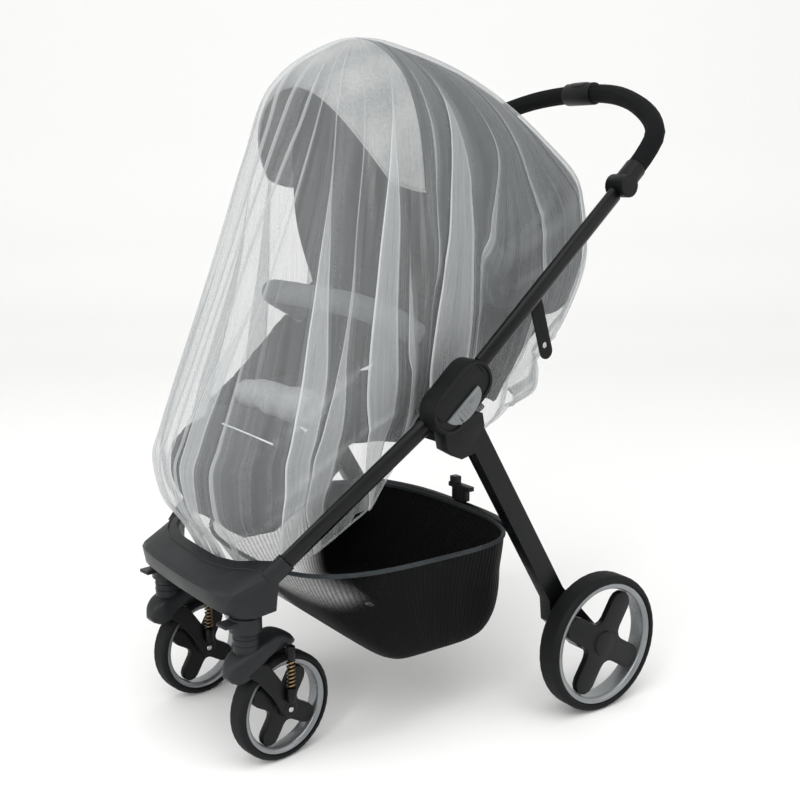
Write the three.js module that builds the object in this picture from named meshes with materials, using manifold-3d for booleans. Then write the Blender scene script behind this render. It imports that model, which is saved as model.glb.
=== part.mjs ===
// A mosquito net hung over the hood, seat and foot rest of a plain four-wheeled stroller.
// Millimetres, +Z up. X runs from the foot end (negative) to the push handle (positive), Y runs across,
// and the origin is on the floor under the middle of the whole thing.
import * as THREE from "three";
import { mergeVertices } from "three/addons/utils/BufferGeometryUtils.js";
import Module from "manifold-3d";

const wasm = await Module();
wasm.setup();

// Clearances
const GAP = 0.3; // between pieces that touch
const SHEET = 2; // the net as a sheet
const HOOD_SHEET = 2.5; // hood, visor and basket fabric

// Frame
const TUBE_Y = 250; // middle of each side tube
const HUB = { x: -76, y: 252, z: 549, halfLength: 62, halfWidth: 32, depth: 34, turn: 42.4 };
const HUB_LENS = { halfLength: 50, halfWidth: 21, x: 0, z: 10, bottom: -1.5, inset: 3, rise: 1 };
const REFLECTOR = {
  left: [-44, -3.5], right: [28, -5.5], low: [-6, -29], curves: [[31, -20, 16, -29], [-26, -29, -41, -20]],
  depth: 3.5, ribs: 5, ribFrom: -30, ribStep: 7, ribHalf: 1.4, ribTop: -9, ribBottom: -24,
};
const HINGE = { x: 249, z: 844, radius: 18, depth: 38, collarRadius: 17 };
const UPPER_TUBE = { width: 26, depth: 18 };
const LOWER_TUBE = { width: 27, depth: 18 };
const LOWER_TUBE_END = { x: -331, y: 159, z: 303 };
const SOCKET = { length: 26, wall: 2.5 }; // where the lower tube plugs into the bridge
const LEG = {
  topX: -57, topZ: 510, footX: 124, footZ: 203, width: 33, innerY: 238.5, outerY: 262.5, boss: 24,
  heelX: 4, heelZ: -38, axleBehind: [-20, -14], axleFront: [16, 18],
};
const BRACKET = [[-108, 520], [-98, 470], [-72, 455], [-44, 462], [-30, 500], [-34, 520]];
const BRACKET_INNER_Y = 235.4;
const SEAT_MOUNT = { x0: -84, x1: -48, z0: 474, z1: 508 };
const CROSSBAR = {
  radius: 8, endX: 75, z: 287, line: [[67, 246], [75, 236], [101, 190], [127, 110], [133, 0]],
};
const LEVER = {
  x: 133, halfDepth: 7, stem: [-20, 14], plate: [-32, 24], knob: [4, 20], heights: [22, 29, 41],
};
const STRAP = {
  topX: 82, topZ: 684, endX: 109, endZ: 595, halfWidth: 12.5, thickness: 2.5, hole: 5, holeBack: 10,
};

// Wheels: tread radius, outer and inner radius of the rim, width, half width of a cover arm, the
// rounding between two arms, and how far the cross cover is turned
const REAR_WHEEL = {
  radius: 114, rimOuter: 102, rimInner: 91, width: 41, arm: 20, fillet: 17, turn: 58,
  hub: 21, hubOuter: 17.5, hubInner: 21.7,
};
const FRONT_WHEEL = {
  radius: 83.8, rimOuter: 74, rimInner: 64, width: 34, arm: 15, fillet: 11, turn: 58,
  hub: 15, hubOuter: 18.2, hubInner: 18.2,
};
const COVER = { behind: 7, thickness: 12 }; // set back from the tyre's side
const REAR_AXLE = { x: 196.8, y: 286.2 };
const CASTER = { x: -366, y: 136, trail: 59, swivel: 8.2, stem: 19.5, stemMiddle: 194, stemLength: 48 };
const COLLAR = { radius: 24, z0: 218, z1: 242, tab: [26, 24, 5], tabX: -30, tabZ: 236 };
const WHEEL_FACETS = 24;

// Front fork, seen from the side: x from the stem rearward, z from the floor
const CROWN = [
  [-37, 158], [-33, 174], [-19, 186], [19, 196], [42, 206], [60, 203], [76, 192], [80, 182], [74, 176],
  [58, 179], [34, 176], [12, 163], [-4, 148], [-17, 142], [-30, 146],
];
const FORK_ARM = [[-16, 150], [4, 172], [24, 166], [70, 98], [74, 84], [60, 70], [44, 78]];
const FORK_HALF_WIDTH = 25;
const FORK_ARM_INNER = 18.5;
const FORK_BOSS = 14;
const BOLT = { radius: 4.5, proud: 3, sunk: 1 };
const SPRING = { x: 58, y: 29, z0: 121, z1: 163, radius: 7, coils: 6, groove: 2 };
const SPRING_ENDS = { rod: 4, rodLength: 17, lug: 12, lugY: 3, seat: 8, seatLength: 22 };

// Front bridge, one row for each cross-section from the middle outwards
const BRIDGE_SECTIONS = [
  { y: 0, frontX: -420, backX: -365, bottomZ: 258, lipZ: 289, crestZ: 308 },
  { y: 60, frontX: -419, backX: -365, bottomZ: 258, lipZ: 289, crestZ: 309 },
  { y: 105, frontX: -415, backX: -355, bottomZ: 256, lipZ: 289, crestZ: 313 },
  { y: 132, frontX: -408, backX: -337, bottomZ: 252, lipZ: 287, crestZ: 318 },
  { y: 152, frontX: -396, backX: -322, bottomZ: 248, lipZ: 282, crestZ: 320 },
  { y: 167, frontX: -372, backX: -326, bottomZ: 246, lipZ: 272, crestZ: 308 },
];

const BRIDGE_EDGE = { front: 5, back: 6, rise: 4, roundBack: 5, roundFront: 7 };
const BRIDGE_STEM = { wall: 2, length: 24, z: 254 };

// Handle: the line of the foam grip from one joint round to the middle
const GRIP_RADIUS = 16;
const GRIP_LINE = [
  [281, 250, 873.5], [291, 250, 883], [320, 249, 920], [341, 224, 944], [360, 180, 968], [384, 110, 989],
  [398, 50, 997], [400, 20, 998],
];
const SLEEVE = { x: 400, z: 998, radius: 19.5, halfLength: 33 };

// Rows of numbers as objects, each number under the name of its column
const table = (columns, rows) =>
  rows.map((row) => Object.fromEntries(columns.map((column, i) => [column, row[i]])));

// A form made of levels: front and back are the lines down the middle, side is the widest place at
// each side, and corner says how square the level is: 2 is an ellipse.
const LEVEL_COLUMNS = [
  "reach", "frontX", "frontZ", "sideX", "halfWidth", "sideZ", "backX", "backZ", "corner",
];

// The net, from the crown (reach 0) to the gathered hem (reach 1)
const NET_LEVELS = table(LEVEL_COLUMNS, [
  [0.0, -75, 1067, -75, 0, 1067, -75, 1067, 2.0],
  [0.07, -134, 1050, -76, 88, 1041, -8, 1054, 2.1],
  [0.14, -180, 1018, -77, 154, 986, 74, 1028, 2.2],
  [0.2, -203, 986, -75, 186, 915, 156, 988, 2.4],
  [0.28, -222, 926, -70, 196, 845, 244, 928, 2.6],
  [0.38, -256, 830, -62, 200, 760, 328, 846, 2.8],
  [0.5, -304, 705, -56, 198, 675, 344, 748, 2.8],
  [0.62, -356, 580, -54, 194, 596, 306, 650, 2.8],
  [0.72, -398, 482, -56, 188, 530, 258, 596, 2.8],
  [0.78, -413, 440, -62, 182, 498, 232, 568, 2.8],
  [0.85, -402, 385, -68, 174, 466, 236, 545, 3.0],
  [0.93, -366, 330, -70, 162, 438, 232, 520, 3.2],
  [1.0, -343, 284, -72, 148, 412, 190, 500, 3.2],
]);

// The net's main folds. turn is degrees round from the front, at the top of the fold and at the hem,
// start is the level where it begins, spread its half width in degrees, height how far it stands out.
const NET_FOLDS = [
  { topTurn: 10, hemTurn: 14, start: 0.22, spread: 8, height: 9 },
  { topTurn: 35, hemTurn: 51, start: 0.2, spread: 5, height: 8 },
  { topTurn: 66, hemTurn: 69, start: 0.12, spread: 5.5, height: 9 },
  { topTurn: 84, hemTurn: 86, start: 0.4, spread: 5, height: 7 },
  { topTurn: 104, hemTurn: 95, start: 0.14, spread: 5.5, height: 9 },
  { topTurn: 124, hemTurn: 116, start: 0.18, spread: 5, height: 6 },
  { topTurn: 148, hemTurn: 140, start: 0.3, spread: 6, height: 7 },
  { topTurn: 172, hemTurn: 176, start: 0.26, spread: 7, height: 8 },
  { topTurn: 205, hemTurn: 210, start: 0.3, spread: 6, height: 7 },
  { topTurn: 234, hemTurn: 240, start: 0.2, spread: 5.5, height: 7 },
  { topTurn: 256, hemTurn: 262, start: 0.16, spread: 5, height: 8 },
  { topTurn: 292, hemTurn: 290, start: 0.14, spread: 5.5, height: 9 },
  { topTurn: 318, hemTurn: 312, start: 0.2, spread: 5, height: 8 },
  { topTurn: 342, hemTurn: 336, start: 0.22, spread: 6, height: 7 },
];
const NET_COLUMNS = 72;
const NET_REACHES = [
  0, 0.035, 0.07, 0.105, 0.14, 0.175, 0.21, 0.25, 0.29, 0.33, 0.375, 0.42, 0.47, 0.53, 0.6, 0.665, 0.72, 0.77,
  0.815, 0.86, 0.91, 0.955, 1,
];
const HEM_RISE = { reach: 0.26, spread: 12 }; // the hem rises over each seat bracket
const NET_GATHER = { from: 0.86, waves: 38, height: 2.5 }; // small gathers next to the elastic

// Hood and visor lie under the net, this deep below its middle surface
const HOOD_DEPTH = { crown: 2.75, below: 6.2 };
const HOOD_EDGE_DEPTH = 2; // more at the free edges
const SEAM = table(["reach", "turn"], [ // the seam between visor and hood, in degrees round from the front
  [0, 90], [0.25, 85], [0.3, 85], [0.5, 91], [0.65, 92],
]);
const SEAM_GAP = 0.7;
const VISOR_EDGE = { middle: 0.185, side: 0.288, sideTurn: 68 };
const HOOD_EDGE = { side: 0.5, back: 0.6 };
const WING_EDGE = table(["reach", "turn", "top", "bottom", "depth"], [ // from the back of each seat wing
  [0.0, 124, 0.47, 0.61, 23], [0.15, 108, 0.465, 0.74, 32], [0.3, 92, 0.475, 0.795, 34],
  [0.5, 80, 0.545, 0.795, 30], [0.77, 63, 0.665, 0.795, 24], [1.0, 53, 0.715, 0.795, 17],
]);
const WING_SHEET = 8;
const CABIN_DEPTH = 12.5; // what is inside the net keeps this far below its middle surface

// Basket levels, from the rim (reach 0) over the bottom edge to the middle of the floor (reach 1)
const BASKET_LEVELS = table(LEVEL_COLUMNS, [
  [0.0, -302, 284, -80, 231, 297, 123.6, 287, 2.9],
  [0.3, -262, 236, -76, 222, 240, 96, 242, 4.2],
  [0.62, -176, 150, -66, 207, 148, 56, 166, 8],
  [0.7, -150, 134, -60, 196, 134, 46, 152, 8],
  [1.0, -60, 143, -60, 0, 143, -60, 143, 4],
]);

// Side views of the seat, each drawn as x and z
const SEAT_BACK = [[62, 520], [92, 492], [318, 782], [326, 812], [300, 826], [278, 812]];
const SEAT_BASE = [
  [-212, 500], [-206, 526], [-150, 530], [61.7, 519.7], [91.7, 491.7], [60, 462], [-60, 452], [-196, 470],
];
const LEG_REST = [
  [-244.7, 500], [-270, 500], [-296, 492], [-388, 450], [-398, 434], [-390, 405], [-352, 338], [-338, 328],
  [-215, 388], [-178, 432], [-204, 462], [-244, 482],
];
const SEAT_HALF_WIDTH = 138;
const BACK_HALF_WIDTH = 152;
const SEAT_ROLL = { x: -229.8, z: 514, radius: 20, halfLength: 108 };
const BAR_RADIUS = 18;
const BAR_LINE = [[-84, -166, 628], [-112, -166, 646], [-146, -152, 664], [-166, -110, 674], [-172, 0, 676]];
const LEG_REST_HALF_WIDTH = 122;

const group = new THREE.Group();

const COLOURS = {
  net: { color: 0xdfe3e4, roughness: 0.8, metalness: 0 },
  visor: { color: 0xb9bcbd, roughness: 0.9, metalness: 0 },
  hood: { color: 0x2a2d2f, roughness: 0.9, metalness: 0 },
  seat: { color: 0x3a3e40, roughness: 0.9, metalness: 0 },
  seatPale: { color: 0x9a9c9d, roughness: 0.9, metalness: 0 },
  bag: { color: 0x0d0e11, roughness: 0.85, metalness: 0 },
  frame: { color: 0x101214, roughness: 0.35, metalness: 0.2 },
  plastic: { color: 0x16181a, roughness: 0.5, metalness: 0 },
  greyPlastic: { color: 0x3a3f41, roughness: 0.5, metalness: 0 },
  foam: { color: 0x1b1c1e, roughness: 0.9, metalness: 0 },
  tyre: { color: 0x1a1b1d, roughness: 0.7, metalness: 0 },
  rim: { color: 0xa9adb0, roughness: 0.35, metalness: 0.6 },
  spring: { color: 0xa08468, roughness: 0.35, metalness: 0.8 },
  reflector: { color: 0xb8bab5, roughness: 0.25, metalness: 0.1 },
};

function addPiece(name, geometry, colours) {
  const mesh = new THREE.Mesh(geometry, new THREE.MeshStandardMaterial(colours));
  mesh.name = name;
  group.add(mesh);
  return mesh;
}

// Solids for joining and cutting

function toSolid(geometry) {
  const bare = geometry.clone();
  bare.deleteAttribute("normal");
  bare.deleteAttribute("uv");
  const merged = mergeVertices(bare, 1e-3);
  return new wasm.Manifold(
    new wasm.Mesh({
      numProp: 3,
      vertProperties: merged.attributes.position.array,
      triVerts: new Uint32Array(merged.index.array),
    }),
  );
}

function toGeometry(solid) {
  const { numProp, vertProperties, triVerts, numVert } = solid.getMesh();
  const positions = new Float32Array(numVert * 3);
  for (let i = 0; i < numVert; i++) {
    positions.set(vertProperties.subarray(i * numProp, i * numProp + 3), i * 3);
  }
  const geometry = new THREE.BufferGeometry();
  geometry.setAttribute("position", new THREE.BufferAttribute(positions, 3));
  geometry.setIndex(new THREE.BufferAttribute(triVerts, 1));
  return geometry;
}

function join(...geometries) {
  return toGeometry(geometries.map(toSolid).reduce((a, b) => a.add(b)));
}

function cut(geometry, ...tools) {
  return toGeometry(tools.map(toSolid).reduce((a, b) => a.subtract(b), toSolid(geometry)));
}

// A flat shape drawn in x and z, given a thickness from y0 to y1
function plate(shape, y0, y1, arcSteps = 6) {
  const geometry = new THREE.ExtrudeGeometry(shape, {
    depth: y1 - y0,
    bevelEnabled: false,
    curveSegments: arcSteps,
  });
  return geometry.rotateX(Math.PI / 2).translate(0, y1, 0);
}

function outline(points) {
  return new THREE.Shape(points.map(([x, z]) => new THREE.Vector2(x, z)));
}

// A bar outline with round ends, centred on 0 and lying along the first axis
function roundBar(halfLength, halfWidth) {
  const shape = new THREE.Shape();
  const straight = halfLength - halfWidth;
  shape.absarc(straight, 0, halfWidth, -Math.PI / 2, Math.PI / 2, false);
  shape.absarc(-straight, 0, halfWidth, Math.PI / 2, (3 * Math.PI) / 2, false);
  return shape;
}

// A round rod across the stroller, from y0 to y1
function crossRod(x, z, radius, y0, y1, facets = 16) {
  return new THREE.CylinderGeometry(radius, radius, y1 - y0, facets).translate(x, (y0 + y1) / 2, z);
}

// A flattened tube between two points, its wide side in the upright plane of the tube
function flatTube(from, to, width, depth, trimFrom, trimTo) {
  const along = to.clone().sub(from).normalize();
  const across = new THREE.Vector3(0, 1, 0).cross(along).normalize();
  const side = along.clone().cross(across);
  const start = from.clone().addScaledVector(along, trimFrom);
  const length = from.distanceTo(to) - trimFrom - trimTo;
  const shape = new THREE.Shape();
  shape.absellipse(0, 0, width / 2, depth / 2, 0, Math.PI * 2, false, 0);
  const geometry = new THREE.ExtrudeGeometry(shape, { depth: length, bevelEnabled: false, curveSegments: 7 });
  const place = new THREE.Matrix4().makeBasis(across, side, along).setPosition(start);
  return geometry.applyMatrix4(place);
}

function roundTube(points, radius, steps, sides) {
  const shape = new THREE.Shape();
  shape.absarc(0, 0, radius, 0, Math.PI * 2, false);
  return new THREE.ExtrudeGeometry(shape, {
    steps,
    curveSegments: sides / 2,
    bevelEnabled: false,
    extrudePath: new THREE.CatmullRomCurve3(points),
  });
}

// Forms made of levels: smooth values between the rows of a table, with no overshoot

function slopesOf(rows, key) {
  const steps = rows.slice(1).map((row, i) => ({
    width: row.reach - rows[i].reach,
    slope: (row[key] - rows[i][key]) / (row.reach - rows[i].reach),
  }));
  return rows.map((_, i) => {
    if (i === 0) return steps[0].slope;
    if (i === rows.length - 1) return steps[i - 1].slope;
    const [before, after] = [steps[i - 1], steps[i]];
    if (before.slope * after.slope <= 0) return 0;
    const w1 = 2 * after.width + before.width;
    const w2 = after.width + 2 * before.width;
    return (w1 + w2) / (w1 / before.slope + w2 / after.slope);
  });
}

function smoothTable(rows) {
  const keys = Object.keys(rows[0]).filter((key) => key !== "reach");
  const slopes = Object.fromEntries(keys.map((key) => [key, slopesOf(rows, key)]));
  return (reach) => {
    const last = rows.length - 2;
    const i = Math.min(last, Math.max(0, rows.findIndex((row) => row.reach > reach) - 1));
    const k = reach >= rows[rows.length - 1].reach ? last : i;
    const width = rows[k + 1].reach - rows[k].reach;
    const t = (reach - rows[k].reach) / width;
    const level = {};
    for (const key of keys) {
      const [a, b] = [rows[k][key], rows[k + 1][key]];
      const [da, db] = [slopes[key][k] * width, slopes[key][k + 1] * width];
      level[key] = a + t * (da + t * (3 * (b - a) - 2 * da - db + t * (2 * (a - b) + da + db)));
    }
    return level;
  };
}

const countTo = (n) => [...Array(n).keys()];
const vector = (x, y, z) => new THREE.Vector3(x, y, z);
const smoothStep = (from, to, value) => THREE.MathUtils.smoothstep(value, from, to);
const degrees = THREE.MathUtils.degToRad;

// The point of a levelled form at a turn (degrees from the front, towards -Y) and a reach
function formPoint(levelAt, turn, reach) {
  const level = levelAt(reach);
  const [c, s] = [Math.cos(degrees(turn)), Math.sin(degrees(turn))];
  const p = level.corner;
  const size = (Math.abs(c) ** p + Math.abs(s) ** p) ** (1 / p);
  const lengthwise = Math.abs(c) / size;
  const [endX, endZ] = c > 0 ? [level.frontX, level.frontZ] : [level.backX, level.backZ];
  const k = lengthwise ** (p / 2);
  const low = smoothStep(0.45, 0.85, reach);
  const towardsEnd = (1 - low) * k ** 1.6 + low * (1 - (1 - k) ** 2);
  return new THREE.Vector3(
    level.sideX + (endX - level.sideX) * lengthwise,
    (-level.halfWidth * s) / size,
    level.sideZ + (endZ - level.sideZ) * towardsEnd,
  );
}

function formNormal(levelAt, turn, reach) {
  const [dTurn, dReach] = [0.5, 0.004];
  const low = Math.max(reach - dReach, 1e-4);
  const down = formPoint(levelAt, turn, reach + dReach).sub(formPoint(levelAt, turn, low));
  const round = formPoint(levelAt, turn + dTurn, reach).sub(formPoint(levelAt, turn - dTurn, reach));
  const normal = down.cross(round);
  return normal.lengthSq() > 1e-12 && reach > 1e-3 ? normal.normalize() : new THREE.Vector3(0, 0, 1);
}

// A closed solid from a grid of points on the middle of a sheet. wraps closes it round on itself,
// pole brings the first row to one point, or the last row when pole is "last".
function sheetSolid(grid, thickness, { wraps = false, pole = null } = {}) {
  const [rows, columns] = [grid.length, grid[0].length];
  const at = (i, j) => grid[i][wraps ? (j + columns) % columns : j];
  const cells = [];
  for (let i = 0; i < rows - 1; i++) {
    for (let j = 0; j < (wraps ? columns : columns - 1); j++) {
      const k = (j + 1) % columns;
      cells.push([[i, j], [i + 1, j], [i + 1, k], [i, k]]);
    }
  }
  const normals = grid.map((row) => row.map(() => new THREE.Vector3()));
  for (const [a, b, c, d] of cells) {
    const across = at(...c).clone().sub(at(...a));
    const normal = across.cross(at(...d).clone().sub(at(...b)));
    for (const [i, j] of [a, b, c, d]) normals[i][j].add(normal);
  }
  const poleRow = pole === "last" ? rows - 1 : pole ? 0 : -1;
  if (poleRow >= 0) {
    const sum = normals[poleRow].reduce((total, n) => total.add(n), new THREE.Vector3());
    normals[poleRow].forEach((n) => n.copy(sum));
  }
  const moved = (point, normal, distance) =>
    point.clone().addScaledVector(normal.clone().normalize(), distance);
  const layers = [thickness / 2, -thickness / 2].map((distance) =>
    grid.map((row, i) => row.map((point, j) => moved(point, normals[i][j], distance))),
  );
  const positions = [];
  const triangle = (a, b, c) => positions.push(...a.toArray(), ...b.toArray(), ...c.toArray());
  const quad = (a, b, c, d) => {
    if (!a.equals(d)) triangle(a, c, d);
    if (!b.equals(c)) triangle(a, b, c);
  };
  layers.forEach((layer, n) => {
    const corner = ([i, j]) => layer[i][j];
    for (const cell of cells) {
      const [a, b, c, d] = cell.map(corner);
      if (n === 0) quad(a, b, c, d);
      else quad(d, c, b, a);
    }
  });
  const edge = (path) => {
    for (let k = 0; k < path.length - 1; k++) {
      const [p, q] = [path[k], path[k + 1]];
      quad(layers[1][p[0]][p[1]], layers[1][q[0]][q[1]], layers[0][q[0]][q[1]], layers[0][p[0]][p[1]]);
    }
  };
  const row = (i) => [...Array(columns).keys(), ...(wraps ? [0] : [])].map((j) => [i, j]);
  const column = (j) => [...Array(rows).keys()].map((i) => [i, j]);
  if (poleRow !== rows - 1) edge(row(rows - 1));
  if (poleRow !== 0) edge(row(0).reverse());
  if (!wraps) {
    edge(column(0));
    edge(column(columns - 1).reverse());
  }
  const geometry = new THREE.BufferGeometry();
  geometry.setAttribute("position", new THREE.Float32BufferAttribute(positions, 3));
  return mergeVertices(geometry, 1e-3);
}

// Cloth: net, hood, visor, seat wings and basket

const netLevel = smoothTable(NET_LEVELS);
const seamAt = smoothTable(SEAM);
const wingAt = smoothTable(WING_EDGE);

const turnApart = (a, b) => Math.abs(((a - b + 540) % 360) - 180);

function netFoldHeight(turn, reach) {
  let height = 0;
  for (const fold of NET_FOLDS) {
    const middle = fold.topTurn + (fold.hemTurn - fold.topTurn) * reach;
    const grown = smoothStep(fold.start, fold.start + 0.45, reach);
    const across = turnApart(turn, middle) / fold.spread;
    height += fold.height * grown * Math.exp(-across * across);
  }
  const gathered = smoothStep(NET_GATHER.from, 1, reach);
  const wave = 1 + Math.cos(degrees(turn * NET_GATHER.waves));
  return height * (1 - 0.6 * gathered) + NET_GATHER.height * gathered * wave;
}

function hemReach(turn) {
  const fromSide = Math.min(turnApart(turn, 90), turnApart(turn, 270)) / HEM_RISE.spread;
  return 1 - HEM_RISE.reach * Math.exp(-(fromSide ** 4));
}

// A point under the net's middle surface, by turn, reach and depth
function underNet(turn, reach, depth) {
  return formPoint(netLevel, turn, reach).addScaledVector(formNormal(netLevel, turn, reach), -depth);
}

function mosquitoNet() {
  const grid = NET_REACHES.map((part) =>
    countTo(NET_COLUMNS).map((j) => {
      const turn = (j * 360) / NET_COLUMNS;
      const reach = part * hemReach(turn);
      return underNet(turn, reach, -netFoldHeight(turn, reach));
    }),
  );
  return sheetSolid(grid, SHEET, { wraps: true, pole: "first" });
}

function visorEdge(turn) {
  const away = Math.min(1, turnApart(turn, 0) / VISOR_EDGE.sideTurn);
  return VISOR_EDGE.middle + (VISOR_EDGE.side - VISOR_EDGE.middle) * away ** 1.6;
}

function hoodEdge(turn) {
  const behind = smoothStep(90, 130, turnApart(turn, 0));
  return HOOD_EDGE.side + (HOOD_EDGE.back - HOOD_EDGE.side) * behind;
}

// A panel of the hood from the crown down, on one side of the seam. facing is 0 in front, 180 behind.
function hoodPanel(facing, rows, columns, edgeAt) {
  const away = facing === 0 ? -1 : 1;
  const grid = countTo(rows + 1).map((i) =>
    countTo(columns + 1).map((j) => {
      const across = (2 * j) / columns - 1;
      const edge = edgeAt(facing + 90 * across);
      const reach = (i / rows) * edge;
      const halfTurn = facing === 0 ? seamAt(reach).turn : 180 - seamAt(reach).turn;
      const turn = facing + halfTurn * across;
      const lowered = smoothStep(0, 0.06, reach) * (HOOD_DEPTH.below - HOOD_DEPTH.crown);
      const depth = HOOD_DEPTH.crown + lowered + HOOD_EDGE_DEPTH * smoothStep(0.8, 1, i / rows);
      const point = underNet((turn + 360) % 360, reach, depth);
      return point.setX(point.x + (away * SEAM_GAP) / 2);
    }),
  );
  return sheetSolid(grid, HOOD_SHEET, { pole: "first" });
}

function seatWing(side) {
  const [rows, columns] = [4, 13];
  const grid = countTo(rows + 1).map((i) =>
    countTo(columns + 1).map((j) => {
      const edge = wingAt(j / columns);
      const reach = edge.top + (edge.bottom - edge.top) * (i / rows);
      const point = underNet(edge.turn, reach, edge.depth);
      return side < 0 ? point : point.setY(-point.y);
    }),
  );
  if (side < 0) grid.forEach((row) => row.reverse());
  return sheetSolid(grid, WING_SHEET);
}

// The room under the net, as one solid
function cabin() {
  const [rows, columns] = [12, 24];
  const grid = countTo(rows + 1).map((i) =>
    countTo(columns).map((j) => underNet((j * 360) / columns, Math.max(i / rows, 1e-3), CABIN_DEPTH)),
  );
  return blockSolid(grid);
}

function basketBag() {
  const levelAt = smoothTable(BASKET_LEVELS);
  const [rows, columns] = [8, 32];
  const grid = countTo(rows + 1).map((i) =>
    countTo(columns).map((j) => formPoint(levelAt, (j * 360) / columns, i / rows)),
  );
  return sheetSolid(grid, HOOD_SHEET, { wraps: true, pole: "last" });
}

function clothPieces() {
  addPiece("mosquito_net", mosquitoNet(), COLOURS.net);
  addPiece("visor", hoodPanel(0, 6, 14, visorEdge), COLOURS.visor);
  addPiece("hood", hoodPanel(180, 12, 18, hoodEdge), COLOURS.hood);
  addPiece("basket", basketBag(), COLOURS.bag);
}

// Seat

function bumperBar(radius, longer = 0) {
  const near = BAR_LINE.map(([x, y, z]) => new THREE.Vector3(x, y, z));
  near[0].addScaledVector(near[0].clone().sub(near[1]).normalize(), longer);
  const far = near.slice(0, -1).reverse().map((p) => new THREE.Vector3(p.x, -p.y, p.z));
  return roundTube([...near, ...far], radius, 24, 10);
}

function seatPieces() {
  const room = toSolid(cabin());
  const fitted = (points, half) => toGeometry(toSolid(plate(outline(points), -half, half)).intersect(room));
  addPiece("seat_back", fitted(SEAT_BACK, BACK_HALF_WIDTH), COLOURS.seat);
  addPiece("seat_base", fitted(SEAT_BASE, SEAT_HALF_WIDTH), COLOURS.seat);
  addPiece("leg_rest", fitted(LEG_REST, LEG_REST_HALF_WIDTH), COLOURS.seat);
  const { x, z, radius, halfLength } = SEAT_ROLL;
  addPiece("seat_roll", crossRod(x, z, radius, -halfLength, halfLength), COLOURS.seatPale);
  addPiece("bumper_bar", bumperBar(BAR_RADIUS), COLOURS.seat);
  bothSides((name, side) => {
    const mount = seatMount(1.2 * GAP);
    const seat = [[SEAT_BACK, BACK_HALF_WIDTH], [SEAT_BASE, SEAT_HALF_WIDTH]].map(([points, half]) =>
      plate(outline(points), -half - GAP, half + GAP),
    );
    const wing = cut(seatWing(-1), mount, bumperBar(BAR_RADIUS + 1.2 * GAP, 2), ...seat);
    addPiece(name + "_seat_wing", onSide(wing, side), COLOURS.seat);
  });
}

// Frame

const bothSides = (place) => [["near", -1], ["far", 1]].forEach(([name, side]) => place(name, side));

// A solid made for the near side (negative Y), or its mirror image
function onSide(geometry, side) {
  if (side < 0) return geometry;
  const mirrored = geometry.index ? geometry.toNonIndexed() : geometry.clone();
  mirrored.scale(1, -1, 1);
  const p = mirrored.attributes.position;
  const corner = new THREE.Vector3();
  const other = new THREE.Vector3();
  for (let i = 0; i < p.count; i += 3) {
    corner.fromBufferAttribute(p, i + 1);
    other.fromBufferAttribute(p, i + 2);
    p.setXYZ(i + 1, other.x, other.y, other.z);
    p.setXYZ(i + 2, corner.x, corner.y, corner.z);
  }
  return mirrored;
}

const HUB_FACE = -HUB.y - HUB.depth / 2;

// Puts what is drawn along the hub's own length in its place
function onHub(geometry) {
  return geometry.rotateY(-degrees(HUB.turn)).translate(HUB.x, 0, HUB.z);
}

function hubBody(grow, y0, y1) {
  return onHub(plate(roundBar(HUB.halfLength + grow, HUB.halfWidth + grow), y0, y1, 7));
}

// The hub with a raised panel above its middle line
function hub() {
  const { halfLength, halfWidth, x, z, bottom, inset, rise } = HUB_LENS;
  const body = hubBody(0, HUB_FACE, -HUB.y + HUB.depth / 2);
  const whole = plate(roundBar(halfLength, halfWidth), HUB_FACE - rise, HUB_FACE + inset, 6);
  whole.translate(x, 0, z);
  const below = new THREE.BoxGeometry(4 * halfLength, 4 * HUB.depth, 2 * halfWidth);
  const panel = cut(whole, below.translate(0, HUB_FACE, bottom - halfWidth));
  return join(body, onHub(panel));
}

// The tile below the panel, with a few ribs that stand up from its left part
function reflector() {
  const { left, right, low, curves, depth, ribs, ribFrom, ribStep, ribHalf, ribTop, ribBottom } = REFLECTOR;
  const shape = new THREE.Shape();
  shape.moveTo(...left);
  shape.bezierCurveTo(...curves[1].slice(2), ...curves[1].slice(0, 2), ...low);
  shape.bezierCurveTo(...curves[0].slice(2), ...curves[0].slice(0, 2), ...right);
  shape.lineTo(...left);
  const back = HUB_FACE - GAP;
  const tile = plate(shape, back - depth, back, 6);
  const raised = countTo(ribs).map((i) => {
    const x = ribFrom + i * ribStep;
    const [x0, x1] = [x - ribHalf, x + ribHalf];
    const around = [[x0, ribBottom], [x1, ribBottom], [x1, ribTop], [x0, ribTop]];
    return plate(outline(around), back - depth - 1, back - 2);
  });
  return onHub(join(tile, ...raised));
}

const HUB_CENTRE = vector(HUB.x, -HUB.y, HUB.z);
const HINGE_CENTRE = vector(HINGE.x, -TUBE_Y, HINGE.z);

function upperTube() {
  const from = vector(HUB.x, -TUBE_Y, HUB.z);
  const { width, depth } = UPPER_TUBE;
  return flatTube(from, HINGE_CENTRE, width, depth, HUB.halfLength + GAP, HINGE.radius + GAP);
}

function lowerTube() {
  const end = vector(LOWER_TUBE_END.x, -LOWER_TUBE_END.y, LOWER_TUBE_END.z);
  const tube = flatTube(HUB_CENTRE, end, LOWER_TUBE.width, LOWER_TUBE.depth, 10, SOCKET.length + GAP);
  return cut(tube, hubBody(GAP, -HUB.y - HUB.depth, -HUB.y + HUB.depth));
}

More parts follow.
